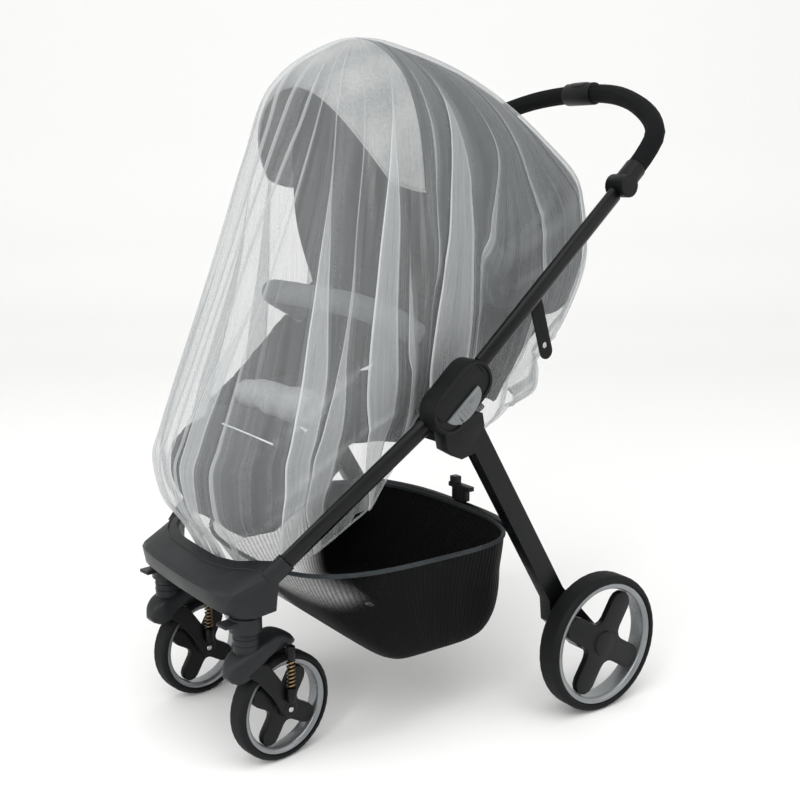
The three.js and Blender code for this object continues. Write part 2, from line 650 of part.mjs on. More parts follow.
// Rear leg with the bracket under the hub and the foot round the axle
function rearLeg() {
  const down = new THREE.Vector2(LEG.footX - LEG.topX, LEG.footZ - LEG.topZ).normalize();
  const half = new THREE.Vector2(-down.y, down.x).multiplyScalar(LEG.width / 2);
  const bar = outline([
    [LEG.topX + half.x, LEG.topZ + half.y],
    [LEG.topX - half.x, LEG.topZ - half.y],
    [LEG.footX - half.x, LEG.footZ - half.y],
    [LEG.footX - half.x + LEG.heelX, LEG.footZ - half.y + LEG.heelZ],
    [REAR_AXLE.x + LEG.axleBehind[0], REAR_WHEEL.radius + LEG.axleBehind[1]],
    [REAR_AXLE.x + LEG.axleFront[0], REAR_WHEEL.radius + LEG.axleFront[1]],
    [LEG.footX + half.x, LEG.footZ + half.y],
  ]);
  const leg = plate(bar, -LEG.outerY, -LEG.innerY);
  const bracket = plate(outline(BRACKET), -LEG.outerY, -BRACKET_INNER_Y);
  const bossEnd = REAR_AXLE.y - REAR_WHEEL.hubInner - GAP;
  const boss = crossRod(REAR_AXLE.x, REAR_WHEEL.radius, LEG.boss, -bossEnd, -LEG.innerY + 3);
  return cut(join(leg, bracket, boss), hubBody(GAP, -HUB.y - HUB.depth, -HUB.y + HUB.depth));
}

function seatMount(grow = 0) {
  const [x0, x1] = [SEAT_MOUNT.x0 - grow, SEAT_MOUNT.x1 + grow];
  const [z0, z1] = [SEAT_MOUNT.z0 - grow, SEAT_MOUNT.z1 + grow];
  const shape = outline([[x0, z0], [x1, z0], [x1, z1], [x0, z1]]);
  return plate(shape, -HUB.y + HUB.depth / 2 + GAP, -SEAT_HALF_WIDTH - GAP);
}

function crossbar() {
  const { radius, endX, z, line } = CROSSBAR;
  const near = line.map(([x, y]) => vector(x, -y, z));
  const far = line.slice(0, -1).reverse().map(([x, y]) => vector(x, y, z));
  const bar = roundTube([...near, ...far], radius, 20, 8);
  const reach = LEG.innerY - GAP;
  const beyond = (side) => new THREE.BoxGeometry(200, 40, 60).translate(endX, side * (reach + 20), z);
  return cut(bar, beyond(-1), beyond(1));
}

function crossbarLever() {
  const { x, halfDepth, stem, plate: top, knob, heights } = LEVER;
  const base = CROSSBAR.z + CROSSBAR.radius + GAP;
  const block = ([y0, y1], z0, z1) =>
    new THREE.BoxGeometry(2 * halfDepth, y1 - y0, z1 - z0).translate(x, (y0 + y1) / 2, (z0 + z1) / 2);
  return join(
    block(stem, base, base + heights[0]),
    block(top, base + heights[0] - 1, base + heights[1]),
    block(knob, base + heights[1] - 1, base + heights[2]),
  );
}

function strapTab() {
  const { topX, topZ, endX, endZ, halfWidth, thickness, hole, holeBack } = STRAP;
  const along = new THREE.Vector2(endX - topX, endZ - topZ);
  const shape = new THREE.Shape();
  const length = along.length();
  shape.moveTo(0, halfWidth);
  shape.lineTo(0, -halfWidth);
  shape.lineTo(length, -halfWidth);
  shape.absarc(length, 0, halfWidth, -Math.PI / 2, Math.PI / 2, false);
  shape.lineTo(0, halfWidth);
  shape.holes.push(new THREE.Path().absarc(length - holeBack, 0, hole, 0, Math.PI * 2, true));
  const y = -TUBE_Y + UPPER_TUBE.depth / 2 + GAP;
  return plate(shape, y, y + thickness, 5).rotateY(-along.angle()).translate(topX, 0, topZ);
}

function hinge() {
  const { x: hingeX, z: hingeZ, radius, depth, collarRadius } = HINGE;
  const boss = crossRod(hingeX, hingeZ, radius, -TUBE_Y - depth / 2, -TUBE_Y + depth / 2, 18);
  const [x, y, z] = GRIP_LINE[0];
  const along = vector(x, -y, z).sub(HINGE_CENTRE);
  const length = along.length() - 3 * GAP;
  const turned = new THREE.Quaternion().setFromUnitVectors(vector(0, 1, 0), along.clone().normalize());
  const collar = new THREE.CylinderGeometry(collarRadius, collarRadius, length, 14);
  collar.translate(0, length / 2, 0).applyQuaternion(turned);
  return join(boss, collar.translate(hingeX, -TUBE_Y, hingeZ));
}

function gripHalf() {
  const points = GRIP_LINE.map(([x, y, z]) => vector(x, -y, z));
  const tube = roundTube(points, GRIP_RADIUS, 18, 10);
  const middle = new THREE.BoxGeometry(120, 80, 120);
  return cut(tube, middle.translate(SLEEVE.x, 40 - SLEEVE.halfLength - GAP, SLEEVE.z));
}

function bridge() {
  const nearSections = BRIDGE_SECTIONS.slice(1).reverse().map((row) => ({ ...row, y: -row.y }));
  const { front, back, rise, roundBack, roundFront } = BRIDGE_EDGE;
  const rings = [...nearSections, ...BRIDGE_SECTIONS].map(({ y, frontX, backX, bottomZ, lipZ, crestZ }) => [
    vector(frontX + front, y, bottomZ),
    vector(backX - back, y, bottomZ + rise),
    vector(backX, y, crestZ - roundBack),
    vector(backX - roundBack, y, crestZ),
    vector(frontX + front, y, lipZ),
    vector(frontX, y, lipZ - roundFront),
  ]);
  const body = loftSolid(rings);
  const end = vector(LOWER_TUBE_END.x, -LOWER_TUBE_END.y, LOWER_TUBE_END.z);
  const whole = HUB_CENTRE.distanceTo(end);
  const grown = 2 * SOCKET.wall;
  const socket = flatTube(
    HUB_CENTRE, end, LOWER_TUBE.width + grown, LOWER_TUBE.depth + grown, whole - SOCKET.length, -10,
  );
  const { wall, length, z } = BRIDGE_STEM;
  const stem = (side) =>
    upright(CASTER.x, side * CASTER.y, CASTER.stem + wall, z - length / 2, z + length / 2, 16);
  return join(body, socket, onSide(socket, 1), stem(-1), stem(1));
}

// A solid from levels of points that wrap round, closed at the top and bottom
function blockSolid(grid) {
  const top = grid[0].map(() => grid[0][0]);
  const low = grid[grid.length - 1];
  const middle = low.reduce((sum, p) => sum.add(p), new THREE.Vector3()).divideScalar(low.length);
  return loftSolid([top, ...grid.slice(1), low.map(() => middle)]);
}

// A solid through a row of rings with equal numbers of corners
function loftSolid(rings) {
  const positions = [];
  const triangle = (a, b, c) => positions.push(...a.toArray(), ...b.toArray(), ...c.toArray());
  const n = rings[0].length;
  for (let i = 0; i < rings.length - 1; i++) {
    for (let j = 0; j < n; j++) {
      const k = (j + 1) % n;
      triangle(rings[i][j], rings[i + 1][k], rings[i][k]);
      triangle(rings[i][j], rings[i + 1][j], rings[i + 1][k]);
    }
  }
  const last = rings[rings.length - 1];
  for (let j = 1; j < n - 1; j++) {
    triangle(rings[0][0], rings[0][j], rings[0][j + 1]);
    triangle(last[0], last[j + 1], last[j]);
  }
  const geometry = new THREE.BufferGeometry();
  geometry.setAttribute("position", new THREE.Float32BufferAttribute(positions, 3));
  return mergeVertices(geometry, 1e-3);
}

// Wheels, lying round the Y axis with a flat facet on the floor

function ring(profile, facets = WHEEL_FACETS) {
  const grown = 1 / Math.cos(Math.PI / facets);
  const points = [...profile, profile[0]].map(([radius, y]) => new THREE.Vector2(radius * grown, y));
  return new THREE.LatheGeometry(points, facets, Math.PI / facets);
}

function tyre({ radius, rimOuter, width }) {
  const half = width / 2;
  const [shoulder, rounding, tuck] = [5, 6, 2];
  return ring([
    [rimOuter + GAP, tuck - half],
    [radius - shoulder, -half],
    [radius, rounding - half],
    [radius, half - rounding],
    [radius - shoulder, half],
    [rimOuter + GAP, half - tuck],
  ]);
}

function rim({ rimOuter, rimInner, width }) {
  const [inset, slope] = [3, 6];
  const half = width / 2 - inset;
  return ring([[rimInner, slope - half], [rimOuter, -half], [rimOuter, half], [rimInner, half - slope]]);
}

function arcPoints(x, z, radius, fromTurn, toTurn, steps) {
  return countTo(steps + 1).map((i) => {
    const turn = degrees(fromTurn + ((toTurn - fromTurn) * i) / steps);
    return new THREE.Vector2(x + radius * Math.cos(turn), z + radius * Math.sin(turn));
  });
}

// Four arms with round ends, and a rounding between each two of them
function crossOutline(reach, arm, fillet) {
  const corner = arm + fillet;
  const middle = new THREE.Vector2(0, 0);
  const points = countTo(4).flatMap((i) => {
    const end = arcPoints(reach - arm, 0, arm, -90, 90, 6);
    const between = arcPoints(corner, corner, fillet, 270, 180, 3);
    return [...end, ...between].map((point) => point.rotateAround(middle, (i * Math.PI) / 2));
  });
  return new THREE.Shape(points);
}

function crossCover({ rimInner, width, arm, fillet, turn, hub: hubRadius, hubOuter, hubInner }) {
  const outer = width / 2 - COVER.behind;
  const cross = plate(crossOutline(rimInner - GAP, arm, fillet), -outer, COVER.thickness - outer);
  const middle = crossRod(0, 0, hubRadius, -hubOuter, hubInner, 16);
  return join(cross, middle).rotateY(-degrees(turn));
}

function wheelPieces(name, size, place) {
  addPiece(name + "_tyre", place(tyre(size)), COLOURS.tyre);
  addPiece(name + "_rim", place(rim(size)), COLOURS.rim);
  addPiece(name + "_cover", place(crossCover(size)), COLOURS.plastic);
}

function upright(x, y, radius, z0, z1, facets = 10) {
  const rod = new THREE.CylinderGeometry(radius, radius, z1 - z0, facets);
  return rod.rotateX(Math.PI / 2).translate(x, y, (z0 + z1) / 2);
}

function forkArm(side) {
  const [y0, y1] = [side * FORK_ARM_INNER, side * FORK_HALF_WIDTH].sort((a, b) => a - b);
  const boss = crossRod(CASTER.trail, FRONT_WHEEL.radius, FORK_BOSS, y0, y1, 14);
  return join(plate(outline(FORK_ARM), y0, y1), boss);
}

// The two ends that hold the spring: a rod from a lug above, and a seat below
function springEnds() {
  const { rod, rodLength, lug, lugY, seat, seatLength } = SPRING_ENDS;
  const { x, y, z0, z1 } = SPRING;
  return [
    upright(x, -y, rod, z1 + GAP, z1 + rodLength),
    new THREE.BoxGeometry(lug, lug, lug).translate(x, lugY - y, z1 + rodLength),
    upright(x, -y, seat, z0 - seatLength, z0 - GAP),
  ];
}

function fork() {
  const { trail, stem: stemRadius, stemMiddle, stemLength } = CASTER;
  const crown = plate(outline(CROWN), -FORK_HALF_WIDTH, FORK_HALF_WIDTH);
  const stem = upright(0, 0, stemRadius, stemMiddle - stemLength / 2, stemMiddle + stemLength / 2, 18);
  const face = -FORK_HALF_WIDTH;
  const bolt = crossRod(trail, FRONT_WHEEL.radius, BOLT.radius, face - BOLT.proud, face + BOLT.sunk, 10);
  return join(crown, stem, forkArm(-1), forkArm(1), bolt, ...springEnds());
}

function spring() {
  const { radius, coils, z0, z1, groove } = SPRING;
  const pitch = (z1 - z0) / coils;
  const profile = [new THREE.Vector2(0, 0)];
  for (let i = 0; i < coils; i++) {
    profile.push(new THREE.Vector2(radius - groove, i * pitch));
    profile.push(new THREE.Vector2(radius, (i + 0.5) * pitch));
  }
  profile.push(new THREE.Vector2(radius - groove, z1 - z0), new THREE.Vector2(0, z1 - z0));
  const coil = new THREE.LatheGeometry(profile, 10);
  return coil.rotateX(Math.PI / 2).translate(SPRING.x, -SPRING.y, z0);
}

function collar() {
  const { radius, z0, z1, tab, tabX, tabZ } = COLLAR;
  const body = upright(0, 0, radius, z0 + GAP, z1 - GAP, 18);
  return join(body, new THREE.BoxGeometry(...tab).translate(tabX, 0, tabZ));
}

function casterPieces(name, side) {
  const { x, y, trail, swivel } = CASTER;
  const place = (geometry) => geometry.rotateZ(degrees(swivel)).translate(x, side * y, 0);
  addPiece(name + "_fork", place(fork()), COLOURS.greyPlastic);
  addPiece(name + "_spring", place(spring()), COLOURS.spring);
  addPiece(name + "_collar", place(collar()), COLOURS.greyPlastic);
  const onAxle = (geometry) => place(geometry.translate(trail, 0, FRONT_WHEEL.radius));
  wheelPieces(name + "_front", FRONT_WHEEL, onAxle);
}

function framePieces() {
  bothSides((name, side) => {
    const add = (part, geometry, colours) => addPiece(name + "_" + part, onSide(geometry, side), colours);
    add("hub", hub(), COLOURS.plastic);
    add("reflector", reflector(), COLOURS.reflector);
    add("upper_tube", upperTube(), COLOURS.frame);
    add("lower_tube", lowerTube(), COLOURS.frame);
    add("leg", rearLeg(), COLOURS.frame);
    add("seat_mount", seatMount(), COLOURS.plastic);
    add("hinge", hinge(), COLOURS.plastic);
    add("grip", gripHalf(), COLOURS.foam);
    const onAxle = (geometry) => geometry.translate(REAR_AXLE.x, -REAR_AXLE.y, REAR_WHEEL.radius);
    wheelPieces(name + "_rear", REAR_WHEEL, (geometry) => onSide(onAxle(geometry), side));
    casterPieces(name, side);
  });
  addPiece("crossbar", crossbar(), COLOURS.frame);
  addPiece("crossbar_lever", crossbarLever(), COLOURS.plastic);
  addPiece("strap", strapTab(), COLOURS.bag);
  addPiece("bridge", bridge(), COLOURS.greyPlastic);
  const { x, z, radius, halfLength } = SLEEVE;
  addPiece("handle_sleeve", crossRod(x, z, radius, -halfLength, halfLength, 18), COLOURS.plastic);
}

clothPieces();
seatPieces();
framePieces();

export default group;
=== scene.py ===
# %% [markdown]
# # A mosquito net on a stroller
# The net is a bag of very fine white mesh. It is dropped over the hood, falls down the sides, and a thin
# elastic draws its edge together under the foot rest and behind the seat. Most of what makes it look like a
# net is in how its layers add up: one layer over dark cloth is a grey haze, and where the cloth laps over
# itself in a fold, three layers make a pale band with bright edges. So the net is modelled with its laps
# as real layers, and the material says how much of each layer is thread and how much is hole. It also
# makes the thread whiter along each fold's edge, which is a painted highlight.
#
# The solid model comes first. It fixes the size and place of each piece, in metres.

# %% Load the solid model
import math
import bmesh
import bpy
import numpy as np
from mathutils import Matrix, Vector


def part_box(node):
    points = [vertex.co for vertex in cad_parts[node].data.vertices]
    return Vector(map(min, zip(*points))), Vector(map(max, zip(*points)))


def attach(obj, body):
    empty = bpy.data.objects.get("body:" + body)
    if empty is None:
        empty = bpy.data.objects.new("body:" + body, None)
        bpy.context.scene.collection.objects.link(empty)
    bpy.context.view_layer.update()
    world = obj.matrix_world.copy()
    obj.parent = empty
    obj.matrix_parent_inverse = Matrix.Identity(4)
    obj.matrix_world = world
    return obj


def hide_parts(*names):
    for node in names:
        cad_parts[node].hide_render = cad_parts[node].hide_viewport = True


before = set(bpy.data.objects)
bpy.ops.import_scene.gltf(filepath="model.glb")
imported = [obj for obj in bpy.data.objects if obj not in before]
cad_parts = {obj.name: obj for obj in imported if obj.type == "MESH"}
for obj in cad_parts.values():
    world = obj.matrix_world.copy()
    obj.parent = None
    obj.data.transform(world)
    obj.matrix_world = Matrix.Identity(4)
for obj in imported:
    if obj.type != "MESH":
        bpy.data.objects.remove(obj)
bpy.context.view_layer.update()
MM = 0.001

# %% [markdown]
# The camera stands low, in front of the near side. A position, two angles and a focal length are enough,
# because a camera on a levelled tripod doesn't roll.

# %% Camera
def place_camera(location, yaw, pitch, lens):
    data = bpy.data.cameras.new("camera")
    data.lens = lens
    data.clip_start = 0.05
    data.clip_end = 60
    camera = bpy.data.objects.new("camera", data)
    camera.location = location
    camera.rotation_euler = (math.pi / 2 - pitch, 0, -yaw)
    bpy.context.scene.collection.objects.link(camera)
    bpy.context.scene.camera = camera
    return camera


camera = place_camera((-1.0861, -1.5341, 0.8799), 0.6176, 0.2041, 51.71)
print("camera at", tuple(round(v, 3) for v in camera.location), "lens", camera.data.lens)

# %% [markdown]
# Colours are written as the hex values that a screen shows. Shaders work with light, so one function turns
# them to linear values. One more helper adds a shader node with its settings and links in a single line,
# which keeps each material short enough to read as a recipe. Sums, ranges, noises and waves come up so often
# that each has a short form of it.

# %% Colour and node helpers
def linear(code):
    values = [int(code[i:i + 2], 16) / 255 for i in (1, 3, 5)]
    curved = [v / 12.92 if v <= 0.04045 else ((v + 0.055) / 1.055) ** 2.4 for v in values]
    return (*curved, 1.0)


def node(tree, kind, inputs=None, **settings):
    made = tree.nodes.new(kind)
    for key, value in settings.items():
        setattr(made, key, value)
    for key, value in (inputs or {}).items():
        if isinstance(value, bpy.types.NodeSocket):
            tree.links.new(value, made.inputs[key])
        else:
            made.inputs[key].default_value = value
    return made


def maths(tree, operation, *values, **settings):
    return node(tree, "ShaderNodeMath", dict(enumerate(values)), operation=operation, **settings).outputs[0]


def mapped(tree, value, target, source=(0.0, 1.0)):
    """The value carried from one range to another. It stops at the ends of the range."""
    return node(tree, "ShaderNodeMapRange", {
        "Value": value, "From Min": source[0], "From Max": source[1],
        "To Min": target[0], "To Max": target[1]}).outputs[0]


def noise(tree, vector, scale, detail, **more):
    inputs = {"Vector": vector, "Scale": scale, "Detail": detail, **more}
    return node(tree, "ShaderNodeTexNoise", inputs).outputs["Fac"]


def bands(tree, vector, period_mm, direction, distortion=0.0, detail=2.0, **settings):
    """Parallel waves. A wave texture has about three to a unit, so its scale is a third of 1 / period."""
    inputs = {"Vector": vector, "Scale": 1 / (math.pi * period_mm * MM), "Distortion": distortion,
              "Detail": detail}
    return node(tree, "ShaderNodeTexWave", inputs, bands_direction=direction, **settings).outputs["Fac"]


def bumped(tree, height, strength, distance_mm):
    inputs = {"Height": height, "Strength": strength, "Distance": distance_mm * MM}
    return node(tree, "ShaderNodeBump", inputs).outputs[0]


def new_material(name):
    material = bpy.data.materials.new(name)
    material.use_nodes = True
    material.node_tree.nodes.clear()
    return material, material.node_tree


def output(tree, shader):
    node(tree, "ShaderNodeOutputMaterial", {"Surface": shader})


def ramp(tree, factor, stops):
    made = node(tree, "ShaderNodeValToRGB", {"Fac": factor})
    elements = made.color_ramp.elements
    while len(elements) < len(stops):
        elements.new(0.5)
    for element, (position, colour) in zip(elements, stops):
        element.position = position
        element.color = colour
    return made.outputs["Color"]


print("helpers ready, mid grey is", [round(v, 3) for v in linear("#808080")])

# %% [markdown]
# ## The form of the net
# A net that hangs over a hood has no straight lines, but its form can be told in a dozen levels from the
# crown to the hem. Each level is a rounded loop, given by where it crosses the front, the back and the
# sides. A smooth curve through each column of the table, one that never overshoots between rows, fills in
# the rest. A position on the cloth is then a turn (0 at the foot end, 90 at the near side) and a reach
# (0 at the crown, 1 at the hem).

# %% Smooth curves through a table
def smooth(rows, x):
    """Values at x of every column but the first, with no overshoot between the rows."""
    table = np.array(rows, float)
    keys, values = table[:, 0], table[:, 1:]
    x = np.clip(np.asarray(x, float), keys[0], keys[-1])
    width = np.diff(keys)[:, None]
    rise = np.diff(values, axis=0) / width
    slope = np.empty_like(values)
    slope[0], slope[-1] = rise[0], rise[-1]
    before, after = rise[:-1], rise[1:]
    w1, w2 = 2 * width[1:] + width[:-1], width[1:] + 2 * width[:-1]
    same = before * after > 0
    safe = np.where(same, w1 / np.where(same, before, 1) + w2 / np.where(same, after, 1), 1)
    slope[1:-1] = np.where(same, (w1 + w2) / safe, 0)
    k = np.clip(np.searchsorted(keys, x, side="right") - 1, 0, len(keys) - 2)
    h = (keys[k + 1] - keys[k])[..., None]
    t = ((x - keys[k])[..., None]) / h
    a, b, da, db = values[k], values[k + 1], slope[k] * h, slope[k + 1] * h
    return a + t * (da + t * (3 * (b - a) - 2 * da - db + t * (2 * (a - b) + da + db)))


def step(low, high, x):
    t = np.clip((np.asarray(x, float) - low) / (high - low), 0, 1)
    return t * t * (3 - 2 * t)


# reach, front x, front z, side x, half width, side z, back x, back z, squareness of the loop
NET_LEVELS = [
    (0.00, -75, 1067, -75, 0, 1067, -75, 1067, 2.0),
    (0.02, -95, 1065, -75, 26, 1064, -54, 1066, 2.0),
    (0.07, -134, 1050, -76, 88, 1041, -8, 1054, 2.1),
    (0.14, -180, 1018, -77, 154, 986, 74, 1028, 2.2),
    (0.20, -203, 986, -75, 186, 915, 156, 988, 2.4),
    (0.28, -222, 926, -70, 196, 845, 244, 928, 2.6),
    (0.38, -256, 830, -62, 200, 760, 328, 846, 2.8),
    (0.50, -304, 705, -56, 198, 675, 344, 748, 2.8),
    (0.62, -356, 580, -54, 194, 596, 306, 650, 2.8),
    (0.72, -398, 482, -56, 188, 530, 258, 596, 2.8),
    (0.78, -413, 440, -62, 182, 498, 232, 568, 2.8),
    (0.85, -402, 385, -68, 174, 466, 236, 545, 3.0),
    (0.93, -366, 330, -70, 162, 438, 232, 520, 3.2),
    (1.00, -343, 284, -72, 148, 412, 190, 500, 3.2),
]


def form(levels, turn, reach):
    """Points in mm on a form given by levels, at turns in degrees and reaches from 0 to 1."""
    turn, reach = np.broadcast_arrays(np.asarray(turn, float), np.asarray(reach, float))
    fx, fz, sx, half, sz, bx, bz, p = np.moveaxis(smooth(levels, reach), -1, 0)
    c, s = np.cos(np.radians(turn)), np.sin(np.radians(turn))
    size = (np.abs(c) ** p + np.abs(s) ** p) ** (1 / p)
    along = np.abs(c) / size
    k = along ** (p / 2)
    low = step(0.45, 0.85, reach)
    rise = (1 - low) * k ** 1.6 + low * (1 - (1 - k) ** 2)
    x = sx + (np.where(c > 0, fx, bx) - sx) * along
    z = sz + (np.where(c > 0, fz, bz) - sz) * rise
    return np.stack([x, -half * s / size, z], -1)


def outward(levels, turn, reach):
    turn, reach = np.broadcast_arrays(np.asarray(turn, float), np.asarray(reach, float))
    low = np.maximum(reach - 0.004, 1e-4)
    down = form(levels, turn, reach + 0.004) - form(levels, turn, low)
    around = form(levels, turn + 0.5, reach) - form(levels, turn - 0.5, reach)
    normal = np.cross(down, around)
    normal[reach < 1e-3] = (0, 0, 1)
    return normal / np.maximum(np.linalg.norm(normal, axis=-1, keepdims=True), 1e-9)


def on_net(turn, reach, lift):
    """A point at a height above the net's middle surface, in mm. Negative is inside."""
    return form(NET_LEVELS, turn, reach) + outward(NET_LEVELS, turn, reach) * np.asarray(lift)[..., None]


print("crown", form(NET_LEVELS, 0, 0).round(), "near side at mid height", form(NET_LEVELS, 90, 0.5).round())

# %% [markdown]
# Grids of points become meshes in one helper. It also stores a UV map in metres of cloth, so that a weave
# can be drawn at its true size wherever the surface bends.

# %% Grid to mesh
def put(name, mesh, materials, slot=None):
    obj = bpy.data.objects.new(name, mesh)
    bpy.context.scene.collection.objects.link(obj)
    for material in materials if isinstance(materials, (list, tuple)) else [materials]:
        mesh.materials.append(material)
    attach(obj, "root")
    return obj


def shade_smooth(mesh, sharp_angle=None):
    mesh.polygons.foreach_set("use_smooth", [True] * len(mesh.polygons))
    if sharp_angle:
        mesh.set_sharp_from_angle(angle=math.radians(sharp_angle))


def grid_mesh(name, points, wrap=False, flip=False, uv=None):
    rows, columns = points.shape[:2]
    index = np.arange(rows * columns).reshape(rows, columns)
    if wrap:
        index = np.hstack([index, index[:, :1]])
    quads = np.stack([index[:-1, :-1], index[1:, :-1], index[1:, 1:], index[:-1, 1:]], -1).reshape(-1, 4)
    if flip:
        quads = quads[:, ::-1]
    mesh = bpy.data.meshes.new(name)
    mesh.from_pydata((points.reshape(-1, 3) * MM).tolist(), [], quads.tolist())
    shade_smooth(mesh)
    if uv is None:
        across = np.linalg.norm(np.diff(points, axis=1), axis=-1).mean(0)
        down = np.linalg.norm(np.diff(points, axis=0), axis=-1).mean(1)
        u, v = np.r_[0, across.cumsum()], np.r_[0, down.cumsum()]
        uv = np.stack(np.broadcast_arrays(u[None, :], v[:, None]), -1)
    if wrap:
        wrapped = 2 * uv[:, -1:] - uv[:, -2:-1]
        uv = np.concatenate([uv, wrapped], 1)
    order = [uv[:-1, :-1], uv[1:, :-1], uv[1:, 1:], uv[:-1, 1:]]
    corners = np.stack(order, 2).reshape(-1, 4, 2)
    if flip:
        corners = corners[:, ::-1]
    layer = mesh.uv_layers.new(name="cloth")
    layer.data.foreach_set("uv", (corners.reshape(-1) * MM).tolist())
    return mesh


def modifier(obj, kind, **settings):
    made = obj.modifiers.new(kind.lower(), kind)
    for key, value in settings.items():
        setattr(made, key, value)
    return made


print("a grid of 3 by 4 points has", len(grid_mesh("trial", np.zeros((3, 4, 3))).polygons), "faces")

# %% [markdown]
# ## The net's laps
# Seen close, each pale band on the net is a lap: the cloth runs forward, folds back under itself, and runs
# forward again, so three layers lie in one place. A lap starts as nothing where the cloth is tight over
# the hood, widens as it falls, and is drawn small again at the elastic. The table gives each lap's line
# down the cloth and its width. No two are alike, because a net falls as it likes.

# %% Lines of the laps
# Each lap: rows of reach, turn in degrees, width in mm
LAPS = [
    [(0.00, 5, 0), (0.15, 9.5, 1), (0.204, 8.8, 5), (0.271, 4, 7), (0.327, 2, 7), (0.386, 0.2, 8),
     (0.438, -2.2, 9), (0.60, -2, 9), (0.80, -1, 7), (1.00, -1, 6)],
    [(0.00, 18, 0), (0.16, 21.5, 1), (0.214, 20.8, 5), (0.31, 15.2, 5), (0.391, 11.8, 5), (0.454, 8.5, 6),
     (0.56, 8, 5), (0.68, 6, 7), (0.80, 7, 7), (1.00, 6, 6)],
    [(0.00, 25, 0), (0.30, 23, 0), (0.45, 21.5, 1), (0.551, 21, 4), (0.579, 18.5, 22), (0.625, 15.8, 43),
     (0.684, 14.8, 45), (0.796, 17, 38), (0.90, 16, 24), (1.00, 15, 12)],
    [(0.00, 30, 0), (0.19, 28.5, 1), (0.28, 26.5, 3), (0.42, 26, 4), (0.548, 25.5, 4), (0.601, 26.5, 4),
     (0.693, 28.5, 5), (0.791, 29, 6), (1.00, 28, 7)],
    [(0.00, 36, 0), (0.242, 36.2, 2), (0.272, 37.2, 2), (0.365, 41, 4), (0.428, 43.5, 16), (0.51, 47, 23),
     (0.548, 48.5, 28), (0.64, 52, 34), (0.721, 53.2, 31), (0.819, 53.8, 27), (0.947, 47.5, 18), (1.00, 46, 12)],
    [(0.00, 48, 0), (0.353, 51.2, 2), (0.406, 52.8, 2), (0.461, 55, 4), (0.548, 57, 5), (0.617, 58.3, 10),
     (0.699, 60, 24), (0.801, 60.2, 27), (0.894, 56.6, 21), (1.00, 55, 10)],
    [(0.00, 73.5, 0), (0.118, 71.2, 1), (0.18, 64.5, 3), (0.234, 64, 9), (0.359, 64.5, 33), (0.477, 66.5, 40),
     (0.589, 69.2, 44), (0.672, 71.2, 42), (0.754, 73, 26), (1.00, 72, 10)],
    [(0.00, 82, 0), (0.30, 72.5, 0), (0.40, 73.5, 1), (0.447, 74.5, 4), (0.509, 76.2, 7), (0.574, 78.2, 7),
     (0.614, 79.5, 5), (0.72, 80.5, 4), (1.00, 81, 5)],
    [(0.00, 92, 0), (0.118, 92, 2), (0.187, 91.5, 4), (0.236, 90.5, 4), (0.317, 88.2, 4), (0.406, 87.6, 4),
     (0.50, 84.5, 1), (0.72, 84.5, 1), (1.00, 86, 3)],
    [(0.00, 106, 0), (0.12, 105, 1), (0.165, 103.6, 5), (0.207, 101, 15), (0.298, 96.5, 28), (0.409, 93.8, 38),
     (0.538, 91.6, 56), (0.618, 91.2, 58), (0.72, 91, 40), (1.00, 92, 12)],
    [(0.00, 120, 0), (0.20, 120, 1), (0.244, 116, 5), (0.291, 109.6, 4), (0.336, 104.6, 6), (0.374, 101.6, 6),
     (0.42, 99.8, 3), (0.54, 99.3, 3), (0.62, 99.5, 4), (1.00, 101, 6)],
    [(0.00, 134, 0), (0.16, 133, 1), (0.198, 130.4, 4), (0.237, 126.4, 4), (0.307, 121, 4), (0.374, 119, 6),
     (0.461, 118.5, 7), (0.60, 117, 10), (0.80, 118, 14), (1.00, 118, 9)],
    [(0.00, 146, 0), (0.20, 143, 2), (0.36, 138, 4), (0.50, 136, 6), (0.66, 134, 12), (0.82, 135, 18),
     (1.00, 135, 10)],
    [(0.00, 160, 0), (0.30, 157, 2), (0.50, 154, 8), (0.70, 152, 20), (0.86, 153, 22), (1.00, 153, 10)],
    [(0.00, 178, 0), (0.34, 176, 3), (0.55, 174, 14), (0.75, 175, 24), (0.90, 176, 18), (1.00, 176, 9)],
    [(0.00, 200, 0), (0.28, 203, 3), (0.50, 205, 12), (0.72, 203, 20), (0.88, 202, 20), (1.00, 202, 9)],
    [(0.00, 226, 0), (0.24, 224, 3), (0.40, 228, 8), (0.60, 226, 17), (0.80, 225, 20), (1.00, 225, 9)],
    [(0.00, 240, 0), (0.20, 242, 3), (0.36, 246, 9), (0.60, 245, 14), (0.80, 244, 14), (1.00, 244, 8)],
    [(0.00, 258, 0), (0.15, 258, 2), (0.27, 264, 14), (0.42, 266, 24), (0.60, 267, 36), (0.74, 267, 26),
     (1.00, 266, 10)],
    [(0.00, 282, 0), (0.12, 284, 2), (0.30, 291, 13), (0.50, 290, 30), (0.66, 289, 34), (0.84, 288, 22),
     (1.00, 288, 10)],
    [(0.00, 304, 0), (0.26, 306, 2), (0.42, 303, 12), (0.58, 304, 26), (0.72, 306, 30), (0.88, 305, 20),
     (1.00, 305, 9)],
    [(0.00, 322, 0), (0.23, 321, 3), (0.40, 318, 10), (0.60, 321, 22), (0.78, 323, 24), (1.00, 322, 9)],
    [(0.00, 336, 0), (0.21, 336, 3), (0.38, 337, 7), (0.56, 336, 16), (0.74, 338, 22), (0.90, 338, 18),
     (1.00, 338, 9)],
    [(0.00, 350, 0), (0.15, 354, 2), (0.196, 354.8, 7), (0.251, 354, 7), (0.302, 351.8, 8), (0.349, 351, 10),
     (0.50, 351, 9), (0.70, 351, 12), (0.88, 350, 12), (1.00, 350, 7)],
]
NET_ROWS = 182


HEM_RISE, RISE_DEGREES = 0.26, 12  # how much of the reach the hem rises over a bracket, and how wide
BLUR_ROWS, BLUR_WIDTH = 12, 7.5  # rows on each side over which a lap's line is smoothed


